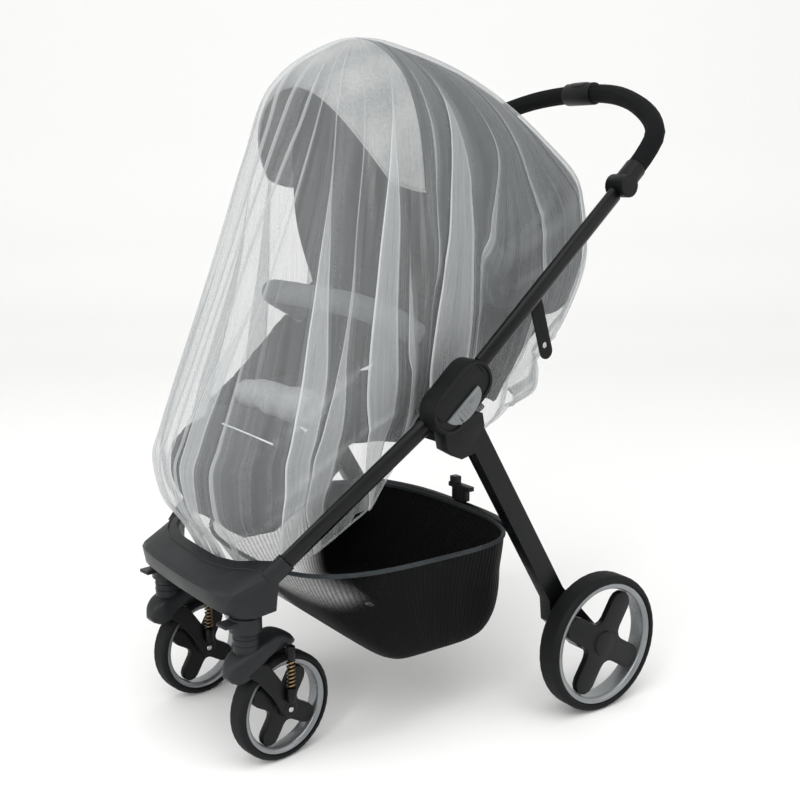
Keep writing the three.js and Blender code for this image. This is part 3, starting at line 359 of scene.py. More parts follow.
def degrees_apart(turn, middle):
    return np.abs((turn - middle + 180) % 360 - 180)


def hem_reach(turn):
    """The hem rises over each seat bracket, at 90 and 270 degrees."""
    side = np.minimum(degrees_apart(turn, 90), degrees_apart(turn, 270))
    return 1 - HEM_RISE * np.exp(-((side / RISE_DEGREES) ** 4))


def lap_line(rows, part):
    """A lap's turn and width at each row of the grid, where a row ends higher over a bracket."""
    reach_ = part
    for _ in range(3):
        reach_ = part * hem_reach(smooth(rows, reach_)[:, 0] % 360)
    line = smooth(rows, reach_)
    padded = np.pad(line, ((BLUR_ROWS, BLUR_ROWS), (0, 0)), mode="edge")
    blur = np.exp(-((np.arange(-BLUR_ROWS, BLUR_ROWS + 1) / BLUR_WIDTH) ** 2))
    return np.stack([np.convolve(column, blur / blur.sum(), "valid") for column in padded.T], -1)


# reach, length of the loop in mm
GIRTHS = [(0, 8), (0.07, 480), (0.14, 800), (0.2, 1060), (0.28, 1360), (0.5, 1780), (0.62, 1780),
          (0.85, 1640), (1, 1527)]
part = np.linspace(0, 1, NET_ROWS) ** 0.92  # rows a little closer together at the crown
laps = [lap_line(rows, part) for rows in LAPS]
per_mm = 360 / smooth(GIRTHS, part)[:, 0]  # degrees to a mm
print(len(LAPS), "laps, widest", max(float(lap[:, 1].max()) for lap in laps), "mm")

# %% [markdown]
# Between two laps the cloth is one layer, with a few columns of points spread evenly. Across a lap the
# columns go forward, back and forward, and climb a little with each pass, so that the layers never touch.
# The last layer lies on top, and the cloth beyond comes down to the hood again over the next few
# centimetres.

# %% Columns of the net
EDGE_POINTS = 5  # points for each pass across a lap
LAYER_STEP = 2.0  # mm between the layers of a lap
OPEN_WIDTH = 6  # mm of width at which a lap's layers are fully apart
# The fold value also makes the thread colour whiter there, a painted highlight, besides closing the holes
FOLD_WIDTH = 0.11  # of a pass, how far the bright edge of a fold reaches
GAP_DEGREES, SETTLE = 2.4, 22  # between columns outside the laps, and mm over which the cloth comes down


def net_columns():
    """Turn and lift of every point, and how far it is in a lap (1 inside) and at a fold (1 on it)."""
    turns, lifts, inside, fold = [], [], [], []
    zigzag = np.linspace(0, 3, 3 * EDGE_POINTS + 1)
    for k, lap in enumerate(laps):
        follow = laps[(k + 1) % len(laps)]
        half = lap[:, 1] / 2 * per_mm
        opened = np.clip(lap[:, 1] / OPEN_WIDTH, 0, 1)
        for u in zigzag:
            turns.append(lap[:, 0] - half * np.cos(math.pi * u))
            lifts.append(LAYER_STEP * u * opened)
            inside.append(opened)
            fold.append(opened * math.exp(-((min(abs(u - 1), abs(u - 2)) / FOLD_WIDTH) ** 2)))
        end = lap[:, 0] + half
        start = follow[:, 0] - follow[:, 1] / 2 * per_mm + (360 if k == len(laps) - 1 else 0)
        steps = max(3, int(round(float(np.mean(start - end)) / GAP_DEGREES)))
        for j in range(1, steps):
            t = j / steps
            turns.append(end + (start - end) * t)
            lifts.append(LAYER_STEP * 3 * opened * np.exp(-(start - end) * t / per_mm / SETTLE))
            inside.append(opened * 0)
            fold.append(opened * 0)
    return [np.array(column).T for column in (turns, lifts, inside, fold)]


net_turn, net_lift, in_lap, on_fold = net_columns()
print("net grid", net_turn.shape)

# %% [markdown]
# Thin cloth is never quite smooth. Soft troughs run down it with the laps, a few drag lines slant from the
# hood towards the hub, where the cloth is pulled in, and the elastic gathers the last centimetres into small
# uneven ruffles. The drag lines cross the laps, so they can't be columns of the grid. Each is a line on the
# cloth with a soft ridge over it, and the cloth is bunched, so a little denser, along it.

# %% Drag lines
# Each line: width in mm, height in mm, bunching from 0 to 1, then its points as (reach, turn)
DRAGS = [
    (17, 2.0, 0.7, [(0.36, 142), (0.38, 128), (0.41, 112), (0.45, 101)]),
    (7, 2.0, 0.5, [(0.31, 135), (0.35, 122), (0.40, 108), (0.46, 97)]),
    (9, 2.5, 0.5, [(0.46, 128), (0.47, 117), (0.49, 108), (0.52, 99)]),
    (6, 1.6, 0.5, [(0.26, 84), (0.33, 81), (0.42, 80), (0.50, 82)]),
    (5, 1.4, 0.5, [(0.16, 55), (0.24, 52), (0.33, 56), (0.42, 60)]),
    (5, 1.4, 0.4, [(0.13, 80), (0.18, 78), (0.26, 77), (0.36, 76)]),
    (6, 1.8, 0.6, [(0.60, 66), (0.64, 60), (0.69, 52), (0.74, 42)]),
    (7, 2.0, 0.7, [(0.70, 82), (0.74, 70), (0.80, 58), (0.86, 44)]),
    (5, 1.6, 0.6, [(0.84, 62), (0.87, 50), (0.90, 38), (0.92, 26)]),
    (5, 1.5, 0.5, [(0.58, 36), (0.68, 38), (0.80, 40), (0.92, 38)]),
    (4, 1.2, 0.5, [(0.30, 31), (0.42, 33), (0.55, 33), (0.66, 36)]),
    (12, 3.0, 0.6, [(0.38, 230), (0.42, 246), (0.46, 258), (0.50, 266)]),
    (9, 2.5, 0.6, [(0.60, 178), (0.64, 160), (0.68, 140), (0.70, 120)]),
    (9, 2.5, 0.6, [(0.58, 190), (0.63, 205), (0.68, 228), (0.70, 244)]),
    (7, 2.0, 0.6, [(0.72, 282), (0.76, 296), (0.82, 308), (0.88, 322)]),
    (8, 2.2, 0.5, [(0.22, 196), (0.30, 190), (0.38, 186), (0.46, 188)]),
]


def drag_ridges(turn, reach):
    """How strongly each point lies on a drag line: as height in mm, and as bunching."""
    height, bunch = np.zeros_like(turn), np.zeros_like(turn)
    around = smooth(GIRTHS, reach)[..., 0] / 360
    places = np.linspace(0, 1, 60)
    for width, tall, dense, line in DRAGS:
        at = smooth([(k / (len(line) - 1), *point) for k, point in enumerate(line)], places)
        near = np.full(turn.shape, 1e9)
        along = np.zeros_like(turn)
        for place, (r, t) in zip(places, at):
            apart = np.hypot((reach - r) * 1000, degrees_apart(turn, t) * around)
            along = np.where(apart < near, place, along)
            near = np.minimum(near, apart)
        strength = np.exp(-((near / width) ** 2)) * np.sin(math.pi * np.clip(along, 0.02, 0.98)) ** 0.7
        height += tall * strength
        bunch = np.maximum(bunch, dense * strength)
    return height, bunch


print(len(DRAGS), "drag lines")

# %% [markdown]
# The rest of the unevenness is a sum of slow waves with different lengths and slants, which gives soft
# troughs without any repeat that the eye can catch. The elastic then draws the last centimetres in.

# %% Soft waves and gathers
def waves(turn, reach, seed):
    rng = np.random.default_rng(seed)
    total = np.zeros_like(turn)
    for _ in range(7):
        count = rng.integers(9, 34)
        slant, phase = rng.uniform(-9, 9), rng.uniform(0, 2 * math.pi)
        rows = rng.uniform(1.0, 3.2)
        total += np.sin(np.radians(turn * count) + slant * reach + phase) * np.sin(rows * math.pi * reach + phase)
    return total / 7


WAVE_HEIGHT, RUFFLE_HEIGHT, GATHER_LIFT = 5.0, 4.5, 2.0  # mm
RUFFLES = 64  # round the hem
LOWEST = -2.2  # mm, so that the cloth stays clear of the hood
MIDDLE_ROW = 110  # where the width of the cloth is measured for its UV map

reach = part[:, None] * hem_reach(net_turn % 360)
hanging = step(0.16, 0.42, reach)
drag_height, bunched = drag_ridges(net_turn % 360, reach)
net_lift = net_lift + WAVE_HEIGHT * hanging * waves(net_turn, reach, 11) + drag_height
gather = step(0.84, 1.0, part)[:, None] * (0.5 + 0.5 * np.sin(np.radians(net_turn * 5) + 1))
ruffle = np.sin(np.radians(net_turn * RUFFLES) + 2.2 * np.sin(np.radians(net_turn * 7)) + 9 * reach)
net_lift = np.maximum(net_lift + RUFFLE_HEIGHT * gather * ruffle + GATHER_LIFT * gather, LOWEST)
bunched = np.maximum(bunched, 0.55 * gather * np.clip(ruffle, 0, 1))
net_points = on_net(net_turn % 360, reach, net_lift)
width_uv = np.r_[0, np.linalg.norm(np.diff(net_points[MIDDLE_ROW], axis=0), axis=-1).cumsum()]
length_uv = np.r_[0, np.linalg.norm(np.diff(net_points, axis=0), axis=-1).mean(1).cumsum()]
net_uv = np.stack(np.broadcast_arrays(width_uv[None, :], length_uv[:, None]), -1)
print(f"cloth round the middle {width_uv[-1]:.0f} mm, crown to hem {length_uv[-1]:.0f} mm")

# %% [markdown]
# ## Sheer polyester tulle
# The real cloth is warp-knitted polyester, with holes of about a millimetre between white threads a tenth
# of a millimetre thick. At this distance no single hole can be seen, so the material is a mix: part of
# each layer is white thread that scatters light, and the rest lets the view through. Three things close the
# holes up: cloth bunched in a lap, a fold's edge, where the threads are seen side on, and cloth that turns
# away from the eye. The first two are stored on the mesh as numbers, the last one is a Layer Weight. Along a
# fold's edge the thread colour is also made whiter: a painted highlight. The weave is drawn 3.2 mm wide,
# about three times its real size, and faint, so that it doesn't flicker.

# %% Net material
WEAVE = 0.0032  # metres


def attribute(tree, name):
    return node(tree, "ShaderNodeAttribute", attribute_name=name).outputs["Fac"]


def cloth_uv(tree):
    """The cloth's UV map, and its two directions."""
    uv = node(tree, "ShaderNodeUVMap", uv_map="cloth").outputs["UV"]
    parts = node(tree, "ShaderNodeSeparateXYZ", {0: uv})
    return uv, parts.outputs["X"], parts.outputs["Y"]


def ribs(tree, along, period):
    return maths(tree, "COSINE", maths(tree, "MULTIPLY", along, 2 * math.pi / period))


def tulle():
    material, tree = new_material("polyester_tulle")
    uv, across, down = cloth_uv(tree)
    threads = maths(tree, "MAXIMUM", ribs(tree, across, WEAVE), ribs(tree, down, WEAVE))
    uneven = [mapped(tree, threads, (0.99, 1.01), (-1.0, 1.0)),
              mapped(tree, noise(tree, uv, 380.0, 1.0), (0.97, 1.03), (0.3, 0.7))]
    for scale, weak, strong in (((60, 2.0, 1), 0.84, 1.18), ((230, 4, 1), 0.86, 1.16)):
        stretched = node(tree, "ShaderNodeMapping", {"Vector": uv, "Scale": scale}).outputs[0]
        uneven.append(mapped(tree, noise(tree, stretched, 1.0, 2.0), (weak, strong), (0.3, 0.7)))
    lap, fold, bunch = [attribute(tree, name) for name in ("in_lap", "on_fold", "bunched")]
    facing = node(tree, "ShaderNodeLayerWeight", {"Blend": 0.5}).outputs["Facing"]
    cover = mapped(tree, maths(tree, "POWER", facing, 3.5), (0.28, 0.58))
    cover = maths(tree, "MULTIPLY_ADD", lap, 0.06, cover)
    cover = maths(tree, "MULTIPLY_ADD", bunch, 0.2, cover)
    for factor in uneven:
        cover = maths(tree, "MULTIPLY", cover, factor)
    cover = maths(tree, "MULTIPLY_ADD", fold, 0.65, cover, use_clamp=True)
    # The thread colour runs from its own white to a brighter white along a fold's edge: a painted highlight
    white = ramp(tree, fold, [(0.0, linear("#d0d3d4")), (1.0, linear("#fcfdfd"))])
    thread = node(tree, "ShaderNodeBsdfPrincipled", {
        "Base Color": white, "Roughness": 0.6, "IOR": 1.57, "Sheen Weight": 0.1,
        "Sheen Roughness": 0.4, "Specular IOR Level": 0.3})
    glow = node(tree, "ShaderNodeBsdfTranslucent", {"Color": white})
    lit = node(tree, "ShaderNodeMixShader", {0: 0.42, 1: thread.outputs[0], 2: glow.outputs[0]})
    hole = node(tree, "ShaderNodeBsdfTransparent")
    output(tree, node(tree, "ShaderNodeMixShader", {0: cover, 1: hole.outputs[0], 2: lit.outputs[0]}).outputs[0])
    return material


def store(mesh, name, values):
    """A number for each point of the mesh, which the material reads by name."""
    numbers = mesh.attributes.new(name, "FLOAT", "POINT")
    numbers.data.foreach_set("value", np.asarray(values, float).reshape(-1))


TULLE = tulle()
net = put("net_cloth", grid_mesh("net_cloth", net_points, wrap=True, uv=net_uv), TULLE, "net")
for name, values in (("in_lap", in_lap), ("on_fold", on_fold), ("bunched", bunched)):
    store(net.data, name, values)
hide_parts("mosquito_net")
print("net:", len(net.data.polygons), "faces")

# %% [markdown]
# The hem is a narrow tube of the same cloth with the elastic inside. It shows as a thin, brighter cord
# round the lower edge. A small helper makes every tube in this scene: it sweeps a ring of points along a
# line, with rings turned to stay square to it.

# %% Tubes along lines
def tube_points(line, radius, sides=14, closed=False, squash=1.0):
    line = np.asarray(line, float)
    if closed:
        ahead, behind = np.roll(line, -1, 0), np.roll(line, 1, 0)
    else:
        ahead, behind = np.vstack([line[1:], line[-1:]]), np.vstack([line[:1], line[:-1]])
    along = ahead - behind
    along /= np.linalg.norm(along, axis=1, keepdims=True)
    up = np.array([0.0, 0.0, 1.0]) if abs(along[0][2]) < 0.9 else np.array([1.0, 0.0, 0.0])
    rings, radius = [], np.broadcast_to(radius, len(line))
    side = np.cross(up, along[0])
    for centre, direction, r in zip(line, along, radius):
        side = side - direction * side.dot(direction)
        side /= np.linalg.norm(side)
        other = np.cross(direction, side)
        angle = np.linspace(0, 2 * math.pi, sides, endpoint=False)[:, None]
        rings.append(centre + r * (np.cos(angle) * side + squash * np.sin(angle) * other))
    return np.array(rings)


def resample(line, count, closed=False):
    line = np.asarray(line, float)
    if closed:
        line = np.vstack([line, line[:1]])
    length = np.r_[0, np.linalg.norm(np.diff(line, axis=0), axis=1).cumsum()]
    rows = np.column_stack([length, line])
    at = np.linspace(0, length[-1], count + (1 if closed else 0))
    return smooth(rows, at)[: count]


def capped(rings, shares):
    """The rings with smaller copies of the first and last one, down to a point, which close the ends."""
    first, last = [[ring.mean(0) + (ring - ring.mean(0)) * share for share in shares] for ring in rings[[0, -1]]]
    return np.concatenate([first, rings, last[::-1]])


def tube(name, line, radius, material, slot, sides=14, closed=False, squash=1.0):
    rings = tube_points(line, radius, sides, closed, squash)
    rings = np.concatenate([rings, rings[:1]]) if closed else capped(rings, (0.0, 0.8))
    return put(name, grid_mesh(name, rings, wrap=True, flip=True), material, slot)


hem_line = resample(net_points[-1][::4], 420, closed=True)
hem = tube("net_hem", hem_line, 1.7, TULLE, "net", sides=8, closed=True)
print("hem", round(float(np.linalg.norm(np.diff(hem_line, axis=0), axis=1).sum())), "mm round")

# %% [markdown]
# ## Hood and visor
# Both are sewn of heavier cloth over bent wire. The visor is a pale heather jersey: grey and white fibres
# spun together, so the colour itself is speckled. The hood is a plain charcoal polyester weave. Both lie a
# few millimetres under the net and follow the same form.

# %% Woven cloth recipe
def woven(name, base, fleck, thread_mm, fleck_mm=2.5, rough=0.85, bump=0.05, sheen=0.2):
    """A plain weave with fibres of a second colour. The yarns are 0.4 to 0.5 mm apart, and are drawn at
    thread_mm, five times as coarse, so that a trace of them shows."""
    material, tree = new_material(name)
    uv = node(tree, "ShaderNodeTexCoord").outputs["Object"]
    speck = noise(tree, uv, 1 / (fleck_mm * MM), 4.0, Roughness=0.7)
    blend = maths(tree, "ADD", speck, noise(tree, uv, 14.0, 2.0))
    share = mapped(tree, blend, (0.0, 1.0), (0.78, 1.22))
    colour = ramp(tree, share, [(0.0, linear(base)), (1.0, linear(fleck))])
    yarns = [bands(tree, uv, thread_mm, axis, 0.6, 1.0) for axis in ("X", "Z")]
    bumps = bumped(tree, maths(tree, "MULTIPLY", *yarns), bump, 0.4)
    cloth = node(tree, "ShaderNodeBsdfPrincipled", {
        "Base Color": colour, "Roughness": rough, "Sheen Weight": sheen, "Sheen Roughness": 0.5,
        "Specular IOR Level": 0.12, "Normal": bumps})
    output(tree, cloth.outputs[0])
    return material


HEATHER = woven("heather_jersey", "#7f8181", "#a5a6a5", 2.4, 4.0, sheen=0.06)
CHARCOAL = woven("charcoal_polyester", "#2a2e31", "#353a3d", 2.4, 9.0, sheen=0.05)
SEAT_CLOTH = woven("seat_polyester", "#0f1214", "#191c1f", 2.4, 9.0, sheen=0.08)
BAR_CLOTH = woven("bar_sleeve_cotton", "#565a5c", "#6a6d6f", 2.4, 9.0, sheen=0.08)
PIPING = woven("reflective_piping", "#e4e6e6", "#f4f5f5", 2.4, 4.0, rough=0.5, bump=0.05, sheen=0.0)
PALE_CLOTH = woven("pale_cotton", "#8b8d8e", "#a2a4a4", 2.4, 9.0, sheen=0.1)
print("cloths:", [m.name for m in (HEATHER, CHARCOAL, SEAT_CLOTH, BAR_CLOTH, PALE_CLOTH)])

# %% Hood and visor sheets
SEAM = [(0, 90), (0.25, 85), (0.3, 85), (0.5, 91), (0.65, 92)]  # reach, turn of the hoop
HOOD_DEPTH = (2.9, 6.4)  # mm below the net, at the crown and beyond it
SEAM_HALF_GAP = 0.4


def visor_edge(turn):
    away = np.minimum(1, degrees_apart(turn, 0) / 68)
    return 0.185 + 0.103 * away ** 1.6


def hood_edge(turn):
    return 0.5 + 0.1 * step(90, 130, degrees_apart(turn, 0))


def panel_points(facing, rows, columns, edge_at):
    across = np.linspace(-1, 1, columns)[None, :]
    down = np.linspace(0, 1, rows)[:, None]
    reach_ = down * edge_at(facing + 90 * across)
    seam = smooth(SEAM, reach_)[..., 0]
    half = seam if facing == 0 else 180 - seam
    turn = (facing + half * across) % 360
    depth = HOOD_DEPTH[0] + (HOOD_DEPTH[1] - HOOD_DEPTH[0]) * step(0, 0.06, reach_) + 2 * step(0.8, 1, down)
    depth = depth + 1.5 * step(0.1, 0.4, reach_) * np.sin(np.radians(turn * 9)) * np.sin(7 * reach_)
    points = on_net(turn, reach_, -depth)
    points[..., 0] += -SEAM_HALF_GAP if facing == 0 else SEAM_HALF_GAP
    return points


visor_points = panel_points(0, 36, 90, visor_edge)
hood_points = panel_points(180, 70, 120, hood_edge)
visor = put("visor_cloth", grid_mesh("visor_cloth", visor_points), HEATHER, "visor")
hood = put("hood_cloth", grid_mesh("hood_cloth", hood_points), CHARCOAL, "hood")
for piece, name in ((visor, "visor"), (hood, "hood")):
    modifier(piece, "SOLIDIFY", thickness=0.0016, offset=0)
    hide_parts(name)
print("visor and hood sheets done")

# %% [markdown]
# A bound edge finishes each sheet: a strip of cloth folded over it and stitched. On the hoop between visor
# and hood it covers the bent wire as well, so it stands up as a soft ridge that shows through the net.

# %% Bindings
def binding(name, line, radius, material, slot, squash=0.6):
    tube(name, resample(line, max(24, len(line) * 2)), radius, material, slot, sides=10, squash=squash)


binding("visor_front_binding", visor_points[-1], 2.2, HEATHER, "visor")
binding("hood_lower_binding", hood_points[-1], 2.2, CHARCOAL, "hood")
seam_line = np.vstack([visor_points[::-1, 0], visor_points[1:, -1]])
binding("hoop_seam", seam_line + np.array([0.4, 0, -1.0]), 2.6, CHARCOAL, "hood", squash=1.0)
print("bindings done")

# %% [markdown]
# ## Mesh of the basket
# The basket is an open tub of ribbed warp-knit mesh with a bound rim. Its walls are drawn in a little, in
# soft waves round the tub. Its threads are thick and black, so the near side, seen through two walls, is
# nearly opaque, and light from behind shows as fine upright lines.

# %% Basket levels
# reach, front x, front z, side x, half width, side z, back x, back z, squareness of the loop
BASKET_LEVELS = [
    (0.00, -302, 284, -80, 231, 297, 123.6, 287, 2.9),
    (0.30, -262, 236, -76, 222, 240, 96, 242, 4.2),
    (0.62, -176, 150, -66, 207, 148, 56, 166, 8),
    (0.70, -150, 134, -60, 196, 134, 46, 152, 8),
    (1.00, -60, 143, -60, 0, 143, -60, 143, 4),
]


def ribbed_mesh():
    """Warp-knit mesh with a rib each 3 mm, drawn each 6 mm so that the ribs can be told apart. Between
    the ribs the knit is open where it is stretched at the foot end, and close where it is doubled."""
    material, tree = new_material("ribbed_knit_mesh")
    uv, around, _ = cloth_uv(tree)
    rib = ribs(tree, around, 0.006)
    grain = noise(tree, uv, 160.0, 3.0)
    thin = mapped(tree, rib, (0.42, 0.72), (0.8, -0.8))
    gap = maths(tree, "MULTIPLY", thin, attribute(tree, "opened"))
    open_share = maths(tree, "MULTIPLY", gap, mapped(tree, grain, (0.7, 1.2)), use_clamp=True)
    raised = bumped(tree, rib, 0.5, 0.6)
    colour = ramp(tree, grain, [(0.3, linear("#030304")), (0.7, linear("#08090a"))])
    yarn = node(tree, "ShaderNodeBsdfPrincipled", {
        "Base Color": colour, "Roughness": 0.65, "Sheen Weight": 0.02, "Specular IOR Level": 0.08,
        "Normal": raised})
    hole = node(tree, "ShaderNodeBsdfTransparent")
    mixed = node(tree, "ShaderNodeMixShader", {0: open_share, 1: yarn.outputs[0], 2: hole.outputs[0]})
    output(tree, mixed.outputs[0])
    return material


RIBBED = ribbed_mesh()
basket_turn = np.arange(0, 360, 2.0)[None, :]
basket_reach = np.linspace(0, 0.985, 44)[:, None]
basket_points = form(BASKET_LEVELS, basket_turn, basket_reach)
sag = 2.5 * np.sin(np.radians(basket_turn * 7 + 40)) * np.sin(math.pi * np.clip(basket_reach / 0.7, 0, 1))
basket_points[..., 1] += np.sign(basket_points[..., 1]) * -np.abs(sag)
basket = put("basket_mesh", grid_mesh("basket_mesh", basket_points, wrap=True), RIBBED, "bag")
far_wall = step(-20, -90, basket_points[..., 0]) * step(-20, 60, basket_points[..., 1])
near_corner = step(-175, -235, basket_points[..., 0]) * step(225, 262, basket_points[..., 2])
store(basket.data, "opened", np.clip(np.maximum(far_wall, near_corner), 0, 1))
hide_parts("basket")
basket_rim = tube("basket_rim", basket_points[0][::2], 3.4, CHARCOAL, "bag", sides=10, closed=True)
print("basket", len(basket.data.polygons), "faces")

# %% [markdown]
# ## Seat pads
# Each pad is foam in a sewn cover. A cover that is a little too small for its foam is what makes a pad
# look soft: it swells between its seams. So each pad starts as a slightly smaller copy of its solid, is
# remeshed into even squares, and is blown up like a balloon for a moment by the cloth simulation. A cap on
# how far a point may move keeps it inside its room.

# %% Swelling a pad
def copy_of(name, new):
    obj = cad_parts[name].copy()
    obj.data = obj.data.copy()
    obj.name, obj.data.name = new, new
    obj.parent = None
    for key in list(obj.keys()):
        del obj[key]
    obj.hide_render = obj.hide_viewport = False
    obj.data.materials.clear()
    bpy.context.scene.collection.objects.link(obj)
    return obj


def apply_modifiers(obj):
    graph = bpy.context.evaluated_depsgraph_get()
    graph.update()
    done = bpy.data.meshes.new_from_object(obj.evaluated_get(graph))
    obj.modifiers.clear()
    obj.data = done


def coords(mesh, kind="co"):
    values = np.empty(len(mesh.vertices) * 3)
    mesh.vertices.foreach_get(kind, values)
    return values.reshape(-1, 3)


def move_to(mesh, points):
    mesh.vertices.foreach_set("co", points.reshape(-1))


def finish_copy(obj, node_name, material, sharp_angle=None):
    obj.data.materials.clear()
    obj.data.materials.append(material)
    shade_smooth(obj.data, sharp_angle)
    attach(obj, "root")
    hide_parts(node_name)


FRAMES, PRESSURE = 20, 4
SPARE = 0.003  # metres that a pad may reach past its solid's box


def swollen(node_name, name, material, voxel=5, shrink=3.0, cap=6, added=None):
    """Sizes in mm: the squares of the remesh, the shrinkage at the start, and the farthest a point may move."""
    obj = copy_of(node_name, name)
    if added:
        both = bmesh.new()
        both.from_mesh(obj.data)
        both.from_mesh(added)
        both.to_mesh(obj.data)
        both.free()
    modifier(obj, "WELD", merge_threshold=0.0002)
    modifier(obj, "REMESH", mode="VOXEL", voxel_size=voxel * MM, use_smooth_shade=True)
    apply_modifiers(obj)
    start = coords(obj.data) - coords(obj.data, "normal") * shrink * MM
    move_to(obj.data, start)
    cloth = modifier(obj, "CLOTH")
    cloth.settings.use_pressure = True
    cloth.settings.uniform_pressure_force = PRESSURE
    cloth.settings.effector_weights.gravity = 0
    cloth.settings.quality = 4
    cloth.point_cache.frame_start, cloth.point_cache.frame_end = 1, FRAMES
    for number in range(1, FRAMES + 1):
        bpy.context.scene.frame_set(number)
    apply_modifiers(obj)
    moved = coords(obj.data) - start
    far = np.linalg.norm(moved, axis=1, keepdims=True)
    moved *= np.minimum(1, cap * MM / np.maximum(far, 1e-9))
    move_to(obj.data, start + moved)
    bpy.context.scene.frame_set(1)
    low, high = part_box(node_name)
    move_to(obj.data, np.clip(coords(obj.data), np.array(low) - SPARE, np.array(high) + SPARE))
    modifier(obj, "SMOOTH", factor=0.5, iterations=3)
    modifier(obj, "SUBSURF", levels=1, render_levels=1)
    apply_modifiers(obj)
    finish_copy(obj, node_name, material)
    print(name, len(obj.data.polygons), "faces")


for node_name, name, fill in (("seat_back", "back_pad", 0.6), ("seat_base", "seat_pad", 0.6),
                              ("leg_rest", "leg_pad", 0.55)):
    swollen(node_name, name, SEAT_CLOTH)

# %% [markdown]
# The side wings are thin quilted panels, so they take the same road with a finer remesh. Where back rest and
# cushion meet, a gusset of the same panel closes the corner behind each wing. The rolled cloth on the seat's
# edge is a loose bundle: a swept ring, creased by waves with sharp valleys. The bumper bar is a foam tube in a
# sewn sleeve: a swept ring with small wrinkles along it.

# %% Wings, rolled cloth and bumper bar
GUSSET_DEPTH = [(92, 34), (108, 32), (124, 23), (130, 20)]  # turn, mm below the net's middle surface


def gusset(sign):
    """A thin closed patch in the corner behind a wing. It overlaps the wing, and the remesh unites them."""
    turn, reach_ = np.meshgrid(np.linspace(98, 127, 12), np.linspace(0.58, 0.81, 14))
    depth = smooth(GUSSET_DEPTH, turn)[..., 0]
    outer, middle, inner = [on_net(turn, reach_, -depth - more) for more in (0, 4, 8)]
    loops = np.concatenate([outer, inner[:, ::-1]], 1)
    ends = np.concatenate([middle, middle[:, ::-1]], 1)
    closed = np.concatenate([ends[:1], loops, ends[-1:]])
    return grid_mesh("gusset", closed * [1, -sign, 1], wrap=True, flip=sign > 0)


for side, sign in (("near", -1), ("far", 1)):
    swollen(side + "_seat_wing", side + "_wing_panel", SEAT_CLOTH, voxel=4, shrink=0.8, cap=3,
            added=gusset(sign))


def crumple(points, centre_line, height, seed):
    """Moves points away from a line of the bundle by creases: waves with sharp valleys."""
    rng = np.random.default_rng(seed)
    total = np.zeros(len(points))
    for _ in range(12):
        direction = rng.normal(size=3)
        direction /= np.linalg.norm(direction)
        wave = np.sin(points @ direction * rng.uniform(0.025, 0.07) + rng.uniform(0, 6.28))
        total += 1 - 2 * np.abs(wave) ** 0.7
    away = points - centre_line
    away /= np.maximum(np.linalg.norm(away, axis=1, keepdims=True), 1e-6)
    return points - away * (total / 4 * height)[:, None]


ROLL_RINGS, ROLL_SIDES = 140, 64
roll_y = np.linspace(-112, 106, ROLL_RINGS)
roll_z = 519 - 0.02 * roll_y + 1.5 * np.sin(roll_y / 17)
roll_line = np.stack([-231 - 4 * np.cos(roll_y / 60), roll_y, roll_z], -1)
puffy = 23.5 - 0.028 * roll_y - 9 * np.abs(np.linspace(-1, 1, ROLL_RINGS)) ** 7
rings = tube_points(roll_line, puffy, sides=ROLL_SIDES, squash=0.95)
middle = np.repeat(roll_line, ROLL_SIDES, axis=0)
rings = capped(crumple(rings.reshape(-1, 3), middle, 3.0, 5).reshape(rings.shape), (0.0, 0.5, 0.85))
strip_y = np.linspace(-132, 24, 60)
strip_line = np.stack([-313 + 0 * strip_y, strip_y, 486.6 + 0.8 * np.cos(strip_y / 60)], -1)
tube("leg_rest_piping", strip_line, 1.7, PIPING, "seat_pale", sides=8, squash=0.7)
roll = put("rolled_cloth", grid_mesh("rolled_cloth", rings, wrap=True, flip=True), PALE_CLOTH, "seat_pale")
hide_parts("seat_roll")

BAR_LINE = [(-84, -166, 628), (-112, -166, 646), (-146, -152, 664), (-166, -110, 674), (-172, 0, 676)]
bar_half = np.array(BAR_LINE, float)
BAR_RINGS = 150
bar_line = resample(np.vstack([bar_half, bar_half[-2::-1] * [1, -1, 1]]), BAR_RINGS)
ring_number = np.arange(BAR_RINGS)
wrinkle = 0.35 * np.sin(ring_number * 1.1) * np.sin(ring_number * 0.23) ** 2
bar = tube("bumper_sleeve", bar_line, 18.6 + wrinkle, BAR_CLOTH, "seat", sides=32)
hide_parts("bumper_bar")
print("seat done")

# %% [markdown]
# ## Hard materials
# The frame is oval aluminium tube, powder-coated satin black: a low gloss with a faint orange peel. The
# joints are glass-filled nylon, moulded with a fine spark-eroded grain that turns their highlights dull.
# Both start from the same recipe: a base colour that drifts slightly, and a grain of a real size.

# %% Hard material recipe
WEAR = 0.08  # how far the roughness drifts to each side


def moulded(name, base, second, rough, grain_mm, bump, metallic=0.0, specular=0.5):
    """grain_mm is the real grain, drawn at least 0.8 mm wide because finer grain doesn't show."""
    material, tree = new_material(name)
    place = node(tree, "ShaderNodeTexCoord").outputs["Object"]
    grain = noise(tree, place, 1 / (max(grain_mm, 0.8) * MM), 2.0)
    drift = noise(tree, place, 12.0, 4.0)
    inputs = {"Base Color": ramp(tree, drift, [(0.35, linear(base)), (0.7, linear(second))]),
              "Roughness": mapped(tree, drift, (rough - WEAR, rough + WEAR), (0.3, 0.7)),
              "Metallic": metallic, "Normal": bumped(tree, grain, bump, 0.3)}
    if metallic == 0:
        inputs["Specular IOR Level"] = specular
    output(tree, node(tree, "ShaderNodeBsdfPrincipled", inputs).outputs[0])
    return material


